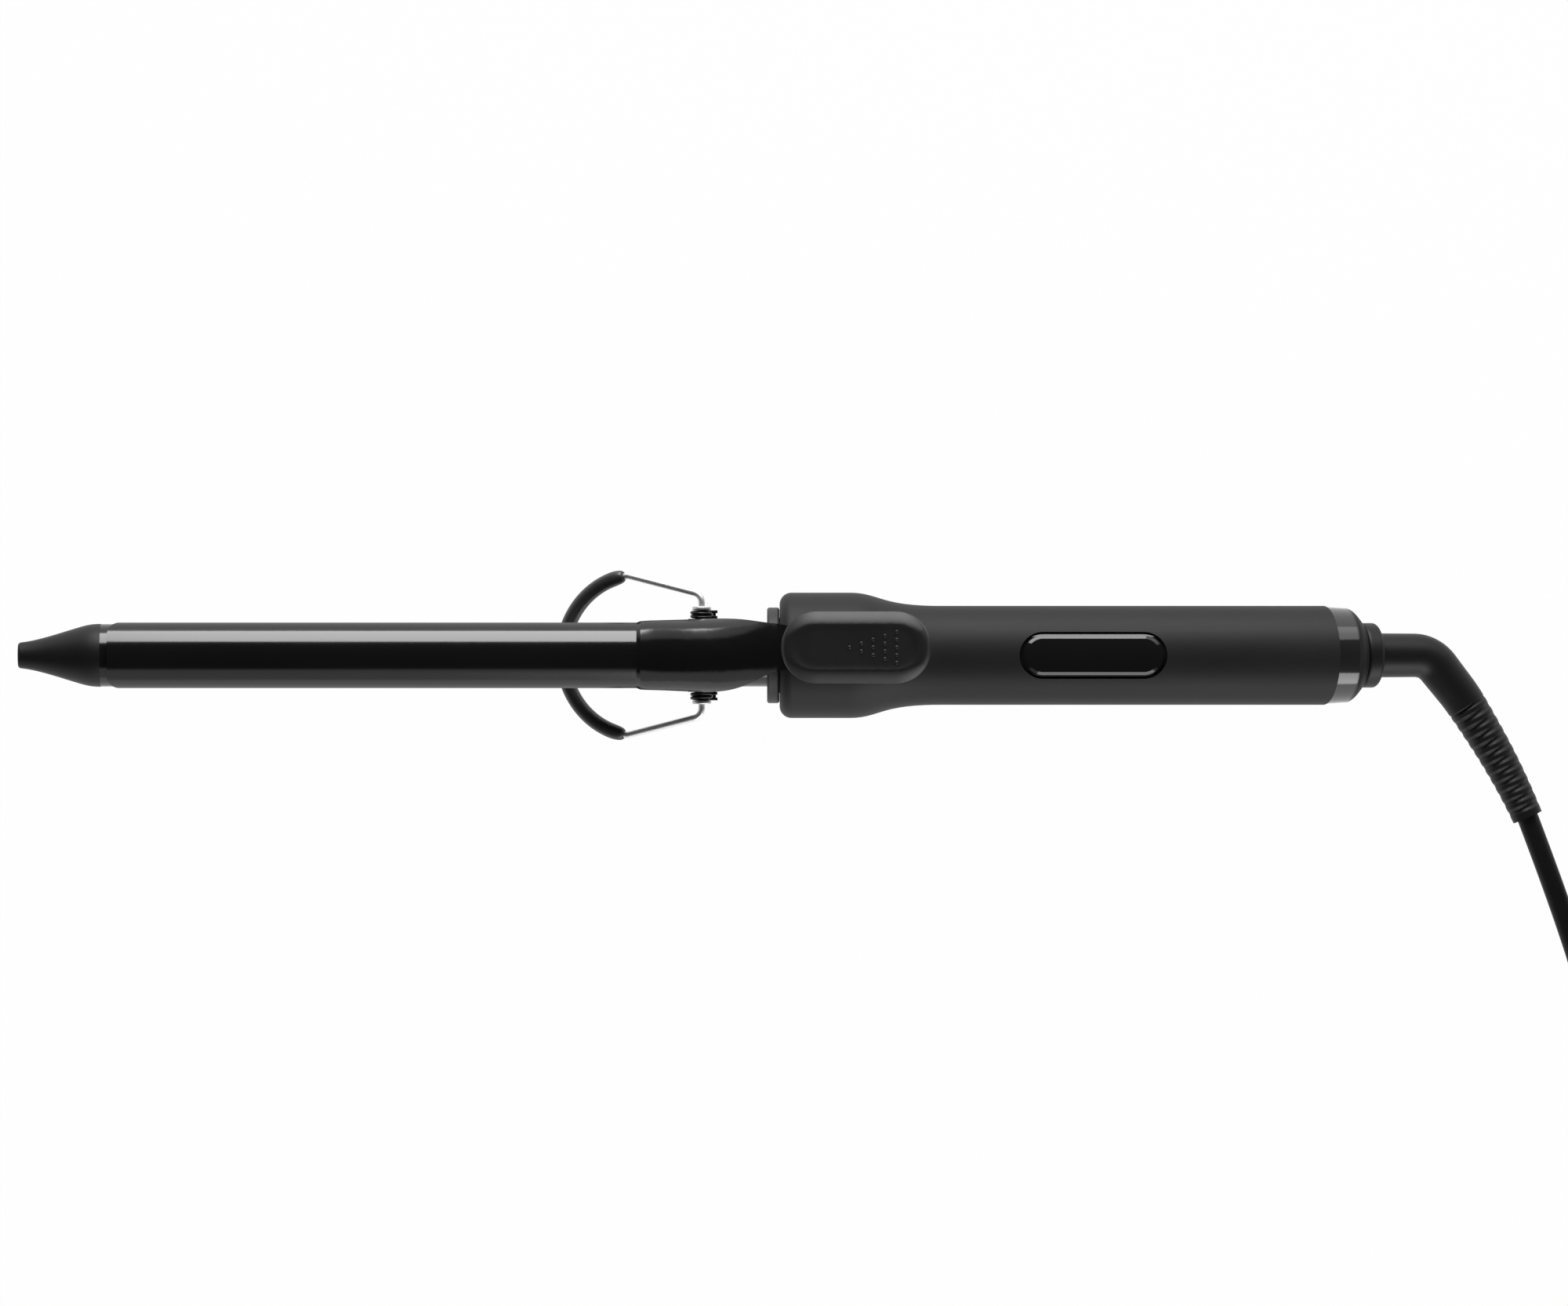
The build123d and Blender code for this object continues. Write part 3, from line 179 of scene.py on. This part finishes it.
handled_gloss, given, out = effect_group("handled_gloss", {"Smear Per Metre": 45.0}, ["Smear", "Ripple"])
place = shader_node(handled_gloss, "TexCoord").outputs["Object"]
along_x = shader_node(handled_gloss, "Mapping", {"Vector": place, "Scale": (0.35, 1, 1)})
smear = shader_node(
    handled_gloss, "TexNoise",
    {"Vector": along_x.outputs["Vector"], "Scale": given[0], "Detail": 6, "Roughness": 0.65},
)
ripple = shader_node(handled_gloss, "TexNoise", {"Vector": place, "Scale": 420, "Detail": 2})
handled_gloss.links.new(smear.outputs["Fac"], out["Smear"])
handled_gloss.links.new(ripple.outputs["Fac"], out["Ripple"])


def glossy(name, dark, light, smooth, dull, ripple_depth, smear_rate=45.0, **plain):
    """Gloss black that hands have smeared a little, over a faint ripple of its surface."""
    material, tree, shader = new_finish(name, **plain)
    skin = shader_node(tree, "Group", {}, node_tree=handled_gloss)
    skin.inputs["Smear Per Metre"].default_value = smear_rate
    bump = shader_node(tree, "Bump", {"Height": skin.outputs["Ripple"], "Distance": ripple_depth})
    tree.links.new(tone_between(tree, skin.outputs["Smear"], dark, light), shader.inputs["Base Color"])
    tree.links.new(spread(tree, skin.outputs["Smear"], smooth, dull), shader.inputs["Roughness"])
    tree.links.new(bump.outputs["Normal"], shader.inputs["Normal"])
    return material


ceramic_coat = glossy(
    "ceramic_coat", (0.004, 0.004, 0.0045), (0.008, 0.008, 0.009), 0.1, 0.2, ripple_depth=2e-6, ior=1.55
)
dress(ceramic_coat, "barrel_tube", "clamp_blade")


# Cool tip
# A heat-proof moulding pressed into the front of the barrel, to hold the hot iron by.
# It is left with the matte, slightly sparkling skin of its glass-filled plastic.

tip_plastic = moulded(
    "tip_plastic", (0.006, 0.006, 0.0062), (0.011, 0.011, 0.0115), 0.42, 0.54, grain=2200.0,
    specular_ior_level=0.3,
)
dress(tip_plastic, "cool_tip")


# Pivot
# A bent steel saddle grips the barrel, and two plated studs riveted to it carry the clamp and the stand.
# Blackened springs wound round the studs push the clamp shut and twist with it.

blackened_steel = bare_metal("blackened_steel", (0.02, 0.02, 0.022), (0.05, 0.05, 0.052), 0.3, 0.45)
plated_steel = bare_metal("plated_steel", (0.68, 0.68, 0.69), (0.84, 0.84, 0.84), 0.4, 0.54)
dress(blackened_steel, "pivot_bracket", "spring_bushes", "handle_screws")
dress(plated_steel, "pivot_studs", "lever_rivets")

join_within = 1e-6


def merged_copy(name, node):
    """Copies a solid's mesh into a new piece, selected and active, and joins its loose edges."""
    piece = bpy.data.objects.new(name, nodes[node].data.copy())
    bpy.context.collection.objects.link(piece)
    bpy.ops.object.select_all(action="DESELECT")
    piece.select_set(True)
    bpy.context.view_layer.objects.active = piece
    bpy.ops.object.mode_set(mode="EDIT")
    bpy.ops.mesh.select_all(action="SELECT")
    bpy.ops.mesh.remove_doubles(threshold=join_within)
    bpy.ops.object.mode_set(mode="OBJECT")
    return piece


pivot = Vector((0.000144, 0, 0.019))
spring_coat = 0.00013
for side in ("left", "right"):
    spring = merged_copy("clamp_spring_" + side, "torsion_spring_" + side)
    coat = spring.modifiers.new("coat", "DISPLACE")
    coat.mid_level = 0
    coat.strength = spring_coat
    bpy.ops.object.modifier_apply(modifier="coat")
    bpy.ops.object.shade_smooth()
    spring.data.materials.clear()
    spring.data.materials.append(blackened_steel)
    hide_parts("torsion_spring_" + side)
    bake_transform(spring)


# Thumb lever
# A moulding riveted to the clamp's tail, dished a little for the thumb, with broad rounded shoulders
# along its sides. A fan of small domes gives the thumb a grip.

mould_grid = 0.0005


def softened(name, node, material, body, rounds):
    """Stands for a solid with a copy whose edges are rounded off, as they leave the mould."""
    piece = merged_copy(name, node)
    remesh = piece.modifiers.new("even_grid", "REMESH")
    remesh.mode = "VOXEL"
    remesh.voxel_size = mould_grid
    smooth = piece.modifiers.new("round_edges", "SMOOTH")
    smooth.iterations = rounds
    bpy.ops.object.modifier_apply(modifier="even_grid")
    bpy.ops.object.modifier_apply(modifier="round_edges")
    bpy.ops.object.shade_smooth()
    piece.data.materials.clear()
    piece.data.materials.append(material)
    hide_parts(node)
    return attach(piece, body)


lever_plastic = moulded(
    "lever_plastic", (0.006, 0.006, 0.0062), (0.01, 0.01, 0.0104), 0.42, 0.52, grain=2600.0, depth=4e-6,
    specular_ior_level=0.5,
)
lever_pad = softened("lever_pad", "thumb_lever", lever_plastic, "clamp", rounds=12)

lever_low, lever_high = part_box("thumb_lever")
lever_middle = (lever_low + lever_high) / 2
lever_half_width = (lever_high.y - lever_low.y) / 2
spine_half = (lever_high.x - lever_low.x) / 2 - lever_half_width
lever_pitch = radians(7)
crest_inset = 0.002
lever_crest = lever_high - Vector((crest_inset, 0, 0))
shoulder_run = 0.0046
shoulder_drop = 0.0024
shoulder_round = 1.6
tiny = 1e-6
for vertex in lever_pad.data.vertices:
    past_spine = max(0.0, abs(vertex.co.x - lever_middle.x) - spine_half)
    beside = abs(vertex.co.y - lever_middle.y)
    reach = hypot(past_spine, beside)
    side_share = beside / max(reach, tiny)
    run = max(shoulder_run * side_share, tiny)
    to_crown = min(1.0, max(0.0, 1 - (lever_half_width - reach) / run))
    crown = lever_crest.z + (vertex.co.x - lever_crest.x) * tan(lever_pitch)
    vertex.co.z = min(vertex.co.z, crown - shoulder_drop * side_share * to_crown**shoulder_round)
lever_pad.data.update()
bpy.context.view_layer.update()

dot_columns = 5
dot_step = Vector((0.00355, 0.00232, 0))
fan_from_front = 0.0207
fan_front = Vector((lever_low.x + fan_from_front, lever_middle.y, 0))
cast_height = lever_high.z + 0.01
dot_radius = 0.00062
dot_rise = 0.00032

bpy.ops.object.select_all(action="DESELECT")
bpy.ops.mesh.primitive_uv_sphere_add(segments=20, ring_count=10, radius=dot_radius)
bpy.ops.object.mode_set(mode="EDIT")
bpy.ops.mesh.select_all(action="SELECT")
bpy.ops.transform.resize(value=(1, 1, dot_rise / dot_radius))
bpy.ops.object.mode_set(mode="OBJECT")
grip_dome = bpy.context.object
grip_dots = []
for column in range(dot_columns):
    for row in range(column + 1):
        side = (row - column / 2) * dot_step.y
        above = fan_front + Vector((column * dot_step.x, side, cast_height))
        hit, seat, normal, face = lever_pad.ray_cast(above, (0, 0, -1))
        dot = grip_dome.copy()
        dot.data = grip_dome.data.copy()
        bpy.context.collection.objects.link(dot)
        dot.location = seat
        dot.rotation_mode = "QUATERNION"
        dot.rotation_quaternion = normal.to_track_quat("Z", "Y")
        grip_dots.append(dot)
bpy.data.objects.remove(grip_dome)
for dot in grip_dots:
    dot.select_set(True)
bpy.context.view_layer.objects.active = grip_dots[0]
bpy.ops.object.join()
bpy.ops.object.transform_apply(location=True, rotation=True, scale=True)
bpy.ops.object.shade_smooth()
lever_grip = bpy.context.object
lever_grip.name = "lever_grip"
lever_grip.data.materials.append(lever_plastic)
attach(lever_grip, "clamp")


# Rest stand
# A bent plated wire whose eyes turn on the studs, so that the hot barrel lies clear of the table.
# A heat-proof sleeve is pushed over the loop that touches the table.

dress(plated_steel, "stand_wire")

loop_radius = 0.0244
loop_half_angle = radians(80)
loop_from_pivot = 0.0211
stand_slope = radians(21.67)
sleeve_radius = 0.0023
sleeve_end_radius = 0.0013
sleeve_end_run = 0.0042
sleeve_wall = 0.00027
sleeve_rings = 120
sleeve_sides = 32

loop_end = Vector((-cos(loop_half_angle), sin(loop_half_angle), 0)) * loop_radius
bpy.ops.object.select_all(action="DESELECT")
bpy.ops.mesh.primitive_circle_add(
    vertices=sleeve_sides, radius=sleeve_radius, location=loop_end,
    rotation=(pi / 2, 0, pi - loop_half_angle),
)
bpy.ops.object.transform_apply(location=True, rotation=True)
bpy.ops.object.mode_set(mode="EDIT")
bpy.ops.mesh.select_all(action="SELECT")
bpy.ops.mesh.spin(steps=sleeve_rings, angle=-2 * loop_half_angle, center=(0, 0, 0), axis=(0, 0, 1))
bpy.ops.mesh.select_all(action="SELECT")
bpy.ops.mesh.normals_make_consistent(inside=False)
bpy.ops.object.mode_set(mode="OBJECT")
loop_sleeve = bpy.context.object
loop_sleeve.name = "loop_sleeve"
for vertex in loop_sleeve.data.vertices:
    turn = atan2(vertex.co.y, -vertex.co.x)
    middle = Vector((-cos(turn), sin(turn), 0)) * loop_radius
    from_end = max(0.0, loop_half_angle - abs(turn)) * loop_radius
    narrowing = max(0.0, 1 - from_end / sleeve_end_run)
    radius = sleeve_end_radius + (sleeve_radius - sleeve_end_radius) * (1 - narrowing**2) ** 0.5
    vertex.co = middle + (vertex.co - middle).normalized() * radius
wall = loop_sleeve.modifiers.new("wall", "SOLIDIFY")
wall.thickness = sleeve_wall
wall.offset = -1
bpy.ops.object.modifier_apply(modifier="wall")
loop_sleeve.location = pivot - Vector((cos(stand_slope), 0, sin(stand_slope))) * loop_from_pivot
loop_sleeve.rotation_euler = (0, -stand_slope, 0)
bpy.ops.object.transform_apply(location=True, rotation=True)
bpy.ops.object.shade_smooth()
sleeve_rubber = moulded(
    "stand_sleeve_rubber", (0.025, 0.025, 0.0254), (0.034, 0.034, 0.0346), 0.3, 0.42, grain=1800.0,
    depth=4e-6, specular_ior_level=0.6,
)
loop_sleeve.data.materials.append(sleeve_rubber)
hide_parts("stand_sleeve")
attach(loop_sleeve, "stand")


# Handle
# Two moulded halves close round the collar that carries the barrel, with two screws from below.
# They have a soft-touch paint, matte and a little blotchy where it is held.

soft_touch = moulded(
    "soft_touch_paint", (0.012, 0.012, 0.0124), (0.018, 0.018, 0.0185), 0.52, 0.6, grain=3200.0,
    blotch=35.0, specular_ior_level=0.22,
)
collar_matte = moulded(
    "barrel_collar_plastic", (0.026, 0.026, 0.0265), (0.036, 0.036, 0.037), 0.45, 0.55, grain=2600.0,
    specular_ior_level=0.3,
)
dress(soft_touch, "handle_upper_shell", "handle_lower_shell")
dress(collar_matte, "barrel_collar")


# Display
# A gloss black window lies flush in the upper half, over a numeric display and two touch pads.
# They sit on the green control board inside the handle.

window_black = glossy(
    "window_black", (0.006, 0.006, 0.0063), (0.0095, 0.0095, 0.01), 0.04, 0.12, ripple_depth=1e-6, ior=1.42
)
display_glass = glossy(
    "display_glass", (0.01, 0.012, 0.012), (0.03, 0.035, 0.035), 0.05, 0.1, ripple_depth=1e-6
)
pad_rubber = moulded("pad_rubber", (0.5, 0.49, 0.45), (0.62, 0.61, 0.57), 0.5, 0.7)
board_green = moulded("board_green", (0.012, 0.09, 0.035), (0.02, 0.14, 0.055), 0.3, 0.45, grain=1500.0)
dress(window_black, "display_lens")
dress(display_glass, "display_module")
dress(pad_rubber, "touch_pads")
dress(board_green, "circuit_board")


# Rear end and swivel
# A ring, polished up to its matte rear shoulder, closes the handle on a slant, and behind it a collar
# turns with the cord boot. Inside, two brushes in a fixed block run on the slip rings of the spindle.

swivel_axis = (0.956305, 0, -0.292372)
polish_end = 0.1811
matte_start = 0.1821

ring_black = glossy(
    "ring_black", (0.006, 0.006, 0.0065), (0.012, 0.012, 0.0125), 0.45, 0.6, ripple_depth=2e-6,
    specular_ior_level=0.15, coat_roughness=0.1, coat_ior=1.6,
)
tree = ring_black.node_tree
place = shader_node(tree, "TexCoord").outputs["Object"]
rearward = shader_node(tree, "VectorMath", {0: place, 1: swivel_axis}, operation="DOT_PRODUCT")
polished = shader_node(
    tree, "MapRange",
    {
        "Value": rearward.outputs["Value"], "From Min": polish_end, "From Max": matte_start,
        "To Min": 1, "To Max": 0,
    },
)
tree.links.new(polished.outputs["Result"], tree.nodes["Principled BSDF"].inputs["Coat Weight"])
collar_plastic = moulded(
    "collar_plastic", (0.006, 0.006, 0.0062), (0.01, 0.01, 0.0104), 0.4, 0.5, grain=2600.0,
    specular_ior_level=0.25,
)
inner_nylon = moulded("inner_nylon", (0.62, 0.61, 0.57), (0.75, 0.74, 0.7), 0.4, 0.55)
contact_brass = bare_metal("contact_brass", (0.7, 0.56, 0.3), (0.8, 0.68, 0.42), 0.15, 0.3)
dress(ring_black, "end_ring")
dress(collar_plastic, "swivel_collar")
dress(inner_nylon, "contact_block", "swivel_spindle")
dress(contact_brass, "brush_contacts", "slip_rings")


# Cord boot
# A soft moulding that leads the cord out in a bend and keeps it from kinking.
# Its end is cut into ribs, so that it flexes more towards the cord.

boot_rubber = moulded(
    "boot_rubber", (0.005, 0.005, 0.0052), (0.009, 0.009, 0.0094), 0.4, 0.52, grain=2000.0, depth=6e-6,
    specular_ior_level=0.25,
)
boot_route = [
    (0.20446, 0, 0.01411), (0.21156, 0, 0.01194), (0.22084, 0, 0.0091), (0.22682, -0.00759, 0.00824),
    (0.23208, -0.01425, 0.00749), (0.24558, -0.03671, 0.00625), (0.25108, -0.04919, 0.00617),
]
neck_radius = 0.0067
elbow_radius = 0.0066
ribs_radius = 0.0061
boot_end_radius = 0.0047
elbow_share = 0.2
ribs_share = 0.48
rib_count = 12
groove_depth = 0.0007
groove_half = 0.3
groove_least_lean = 0.04
groove_lean_run = 0.3
rings_per_run = 64


def smooth_line(name, route, steps):
    """A smooth curve object that has the route's points as its control points."""
    curve = bpy.data.curves.new(name, "CURVE")
    curve.dimensions = "3D"
    line = curve.splines.new("NURBS")
    line.points.add(len(route) - 1)
    for point, spot in zip(line.points, route):
        point.co = (*spot, 1)
    line.order_u = 3
    line.use_endpoint_u = True
    line.resolution_u = steps
    piece = bpy.data.objects.new(name, curve)
    bpy.context.collection.objects.link(piece)
    return piece


def line_points(piece):
    """The points of a curve object's smooth line."""
    return [vertex.co.copy() for vertex in bpy.data.meshes.new_from_object(piece).vertices]


def as_mesh(piece, material):
    """Turns a curve into its final, smooth mesh with its finish."""
    bpy.ops.object.select_all(action="DESELECT")
    piece.select_set(True)
    bpy.context.view_layer.objects.active = piece
    bpy.ops.object.convert(target="MESH")
    bpy.ops.object.shade_smooth()
    piece = bpy.context.object
    piece.data.materials.clear()
    piece.data.materials.append(material)
    return piece


def boot_radius(share):
    """Radius of the boot at a share of its length: a plain neck, an elbow, and a taper to its end."""
    if share < elbow_share:
        return neck_radius + (elbow_radius - neck_radius) * share / elbow_share
    if share < ribs_share:
        past_elbow = (share - elbow_share) / (ribs_share - elbow_share)
        return elbow_radius + (ribs_radius - elbow_radius) * past_elbow
    return ribs_radius + (boot_end_radius - ribs_radius) * (share - ribs_share) / (1 - ribs_share)


def groove_share(share, lean):
    """Depth of a rib's groove, from 0 to 1: cut from above and below, it runs out at the sides."""
    along = (share - ribs_share) / (1 - ribs_share) * rib_count
    if not 0 < along < rib_count - groove_half:
        return 0.0
    from_groove = abs((along + 0.5) % 1 - 0.5) / groove_half
    from_side = min(1.0, max(0.0, (abs(lean) - groove_least_lean) / groove_lean_run))
    return max(0.0, 1 - from_groove**2) * from_side


boot_line = smooth_line("boot_line", boot_route, rings_per_run)
boot_path = line_points(boot_line)
boot_steps = [(b - a).length for a, b in zip(boot_path, boot_path[1:])]
boot_shares = [sum(boot_steps[:count]) / sum(boot_steps) for count in range(len(boot_path))]
bpy.data.objects.remove(boot_line)
boot_curve = bpy.data.curves.new("cord_boot", "CURVE")
boot_curve.dimensions = "3D"
boot_rings = boot_curve.splines.new("POLY")
boot_rings.points.add(len(boot_path) - 1)
for point, spot, share in zip(boot_rings.points, boot_path, boot_shares):
    point.co = (*spot, 1)
    point.radius = boot_radius(share) / neck_radius
boot_curve.bevel_depth = neck_radius
boot_curve.bevel_resolution = 8
boot_curve.use_fill_caps = True
cord_boot = bpy.data.objects.new("cord_boot", boot_curve)
bpy.context.collection.objects.link(cord_boot)
cord_boot = as_mesh(cord_boot, boot_rubber)
nearest = KDTree(len(boot_path))
for index, spot in enumerate(boot_path):
    nearest.insert(spot, index)
nearest.balance()
for vertex in cord_boot.data.vertices:
    middle, index, radius = nearest.find(vertex.co)
    outward = (vertex.co - middle).normalized()
    vertex.co -= outward * groove_depth * groove_share(boot_shares[index], outward.z)
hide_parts("strain_relief")
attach(cord_boot, "swivel")


# Mains lead
# A round black flex that leaves the boot, lies on the table and is put away in a tied coil of two layers.
# It winds in on the table, climbs in the innermost half turn, and winds out again on top.

cord_diameter = 0.0065
coil_pitch = 0.007
coil_outer_radius = 0.05
layer_half_turns = 6
points_per_half_turn = 8
lead_route = [(0.251, -0.04901, 0.00617), (0.26227, -0.0785, 0.00455)]
coil_start = Vector((0.27274, -0.1098, 0.00455))
coil_heading = radians(-71.5)
tail_route = [(0.36218, -0.06195, 0.01155), (0.35967, -0.04513, 0.00685), (0.35967, -0.02813, 0.00685)]

half_turn_radii = [coil_outer_radius - coil_pitch / 2 * turn for turn in range(layer_half_turns + 1)]
half_turn_radii += half_turn_radii[-2::-1]
corner_growth = 1 / cos(pi / points_per_half_turn / 2)
forward = Vector((cos(coil_heading), sin(coil_heading), 0))
inward = Vector((-sin(coil_heading), cos(coil_heading), 0))
turn_start = coil_start
coil_route = []
for turn, radius in enumerate(half_turn_radii):
    climb = coil_pitch if turn == layer_half_turns else 0.0
    for step in range(points_per_half_turn):
        share = step / points_per_half_turn
        swing = forward * sin(pi * share) - inward * cos(pi * share)
        rise = Vector((0, 0, climb * share))
        coil_route.append(turn_start + inward * radius + swing * radius * corner_growth + rise)
    turn_start = turn_start + inward * radius * 2 + Vector((0, 0, climb))
    forward, inward = -forward, -inward

cord_route = [*lead_route, *coil_route, turn_start, *tail_route]
flex_jacket = moulded(
    "flex_jacket", (0.003, 0.003, 0.0031), (0.006, 0.006, 0.0062), 0.45, 0.58, grain=1200.0, depth=6e-6,
    specular_ior_level=0.2,
)
mains_lead = smooth_line("mains_lead", cord_route, steps=24)
cord_path = line_points(mains_lead)
mains_lead.data.bevel_depth = cord_diameter / 2
mains_lead.data.bevel_resolution = 4
mains_lead.data.use_fill_caps = True
mains_lead = as_mesh(mains_lead, flex_jacket)
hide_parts("cord_lead", "cord_coil", "cord_tail")
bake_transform(mains_lead)


# Tie and plug
# A strap holds the coil, and the lead ends in a flat two-pin plug moulded onto it.
# The pins are bright nickel on brass.

tie_centre = Vector((0.30783, -0.05707, 0.00805))
tie_outward = radians(108.5)
tie_half = Vector((0.01168, 0.00755))
tie_thick = 0.0009
tie_width = 0.009
tie_overlap = 0.007
tie_lap_rise = 0.00099
corner_run = 0.0012

tie_top = tie_half.y + tie_lap_rise
corners = [
    (-tie_half.x, tie_half.y), (-tie_half.x, -tie_half.y), (tie_half.x, -tie_half.y), (tie_half.x, tie_top),
]
tie_route = [(tie_overlap, tie_half.y, 0)]
tie_outline = [tie_route[0][:2], *corners, (-tie_overlap, tie_top)]
for before, corner, after in zip(tie_outline, tie_outline[1:], tie_outline[2:]):
    for other in (before, after):
        toward = (Vector(other) - Vector(corner)).normalized() * corner_run
        tie_route.append((corner[0] + toward.x, corner[1] + toward.y, 0))
tie_route.append((-tie_overlap, tie_top, 0))
tie_cloth = moulded(
    "tie_cloth", (0.012, 0.012, 0.0125), (0.022, 0.022, 0.023), 0.7, 0.9, grain=1600.0, depth=5e-5
)
tie_strap = smooth_line("tie_strap", tie_route, steps=6)
tie_strap.data.bevel_depth = tie_thick / 2
tie_strap.data.bevel_resolution = 2
tie_strap.data.extrude = tie_width / 2 - tie_thick / 2
tie_strap.location = tie_centre
tie_strap.rotation_euler = (pi / 2, 0, tie_outward)
tie_strap = as_mesh(tie_strap, tie_cloth)
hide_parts("cord_tie")
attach(tie_strap, "handle")

plug_plastic = moulded(
    "plug_plastic", (0.014, 0.014, 0.0145), (0.022, 0.022, 0.023), 0.38, 0.5, grain=2400.0, depth=2e-6
)
plug_grip = softened("plug_grip", "plug_body", plug_plastic, "handle", rounds=10)
nickel = bare_metal("nickel", (0.62, 0.6, 0.56), (0.75, 0.73, 0.69), 0.14, 0.28)
dress(nickel, "plug_pins")


# Studio
# A white table in a dark room with pale walls along its sides and at its ends, and a soft light on the
# far side. Two weaker ones light the rear of the handle, and the camera looks straight down.

table_size = 60
table_drop = 0.0002
white_share = 0.985
side_wall_edge = (0.7, 0.79)
end_wall_edge = (0.86, 0.94)

bpy.ops.mesh.primitive_plane_add(size=table_size, location=(0, 0, -table_drop))
table = bpy.context.object
table.name = "table"
table_white = bpy.data.materials.new("table_white")
table_white.use_nodes = True
tree = table_white.node_tree
tree.nodes.clear()
ray = shader_node(tree, "LightPath").outputs
seen = shader_node(tree, "Math", {0: ray["Is Camera Ray"], 1: ray["Is Glossy Ray"]}, operation="MAXIMUM")
shown = shader_node(
    tree, "Math", {0: seen.outputs[0], 1: ray["Is Transmission Ray"]}, operation="MAXIMUM"
)
share = shader_node(tree, "Math", {0: shown.outputs[0], 1: white_share}, operation="MULTIPLY")
paper = shader_node(tree, "BsdfDiffuse", {"Color": (0.8, 0.8, 0.8, 1)})
white = shader_node(tree, "Emission", {"Color": (1, 1, 1, 1), "Strength": 1.0})
mixed = shader_node(tree, "MixShader", {0: share.outputs[0], 1: paper.outputs[0], 2: white.outputs[0]})
shader_node(tree, "OutputMaterial", {"Surface": mixed.outputs[0]})
table.data.materials.append(table_white)

world = bpy.data.worlds.new("dark_room")
bpy.context.scene.world = world
world.use_nodes = True
tree = world.node_tree
direction = shader_node(tree, "TexCoord").outputs["Generated"]
sides = shader_node(tree, "SeparateXYZ", {"Vector": direction}).outputs
wall_masks = []
for axis, (edge_start, edge_end) in (("Y", side_wall_edge), ("X", end_wall_edge)):
    outward = shader_node(tree, "Math", {0: sides[axis]}, operation="ABSOLUTE").outputs[0]
    wall_mask = shader_node(
        tree, "MapRange", {"Value": outward, "From Min": edge_start, "From Max": edge_end}
    )
    wall_masks.append(wall_mask.outputs["Result"])
walls = shader_node(tree, "Math", dict(enumerate(wall_masks)), operation="MAXIMUM").outputs[0]
room = tone_between(tree, walls, (0.03, 0.03, 0.03), (0.6, 0.6, 0.6))
tree.links.new(room, tree.nodes["Background"].inputs["Color"])


def soft_light(name, centre, width, height, radiance):
    """A flat soft light that faces the iron."""
    lamp = bpy.data.lights.new(name, "AREA")
    lamp.shape = "RECTANGLE"
    lamp.size = width
    lamp.size_y = height
    lamp.energy = radiance * pi * width * height
    light = bpy.data.objects.new(name, lamp)
    bpy.context.collection.objects.link(light)
    light.location = centre
    light.rotation_mode = "QUATERNION"
    level = Vector((0, -centre[1], 0))
    light.rotation_quaternion = level.to_track_quat("-Z", "Z")
    light.visible_camera = False


soft_light("far_light", (-0.035, 0.9, 0.45), 0.49, 0.84, 8.8)
soft_light("far_fill", (0.78, 0.9, 0.5), 1.14, 0.9, 1.8)
soft_light("near_light", (0.675, -0.9, 0.31), 1.35, 0.52, 4.2)

photo_width = 2000
mm_per_pixel = 0.2375
photo_centre = Vector((0.02508, 0.00071, 0.019))
camera_data = bpy.data.cameras.new("camera")
camera_data.lens = 300
camera_data.sensor_width = 36
camera = bpy.data.objects.new("camera", camera_data)
bpy.context.collection.objects.link(camera)
distance = photo_width * mm_per_pixel / 1000 * camera_data.lens / camera_data.sensor_width
camera.location = photo_centre + Vector((0, 0, distance))
bpy.context.scene.camera = camera
bpy.context.scene.view_settings.view_transform = "Standard"
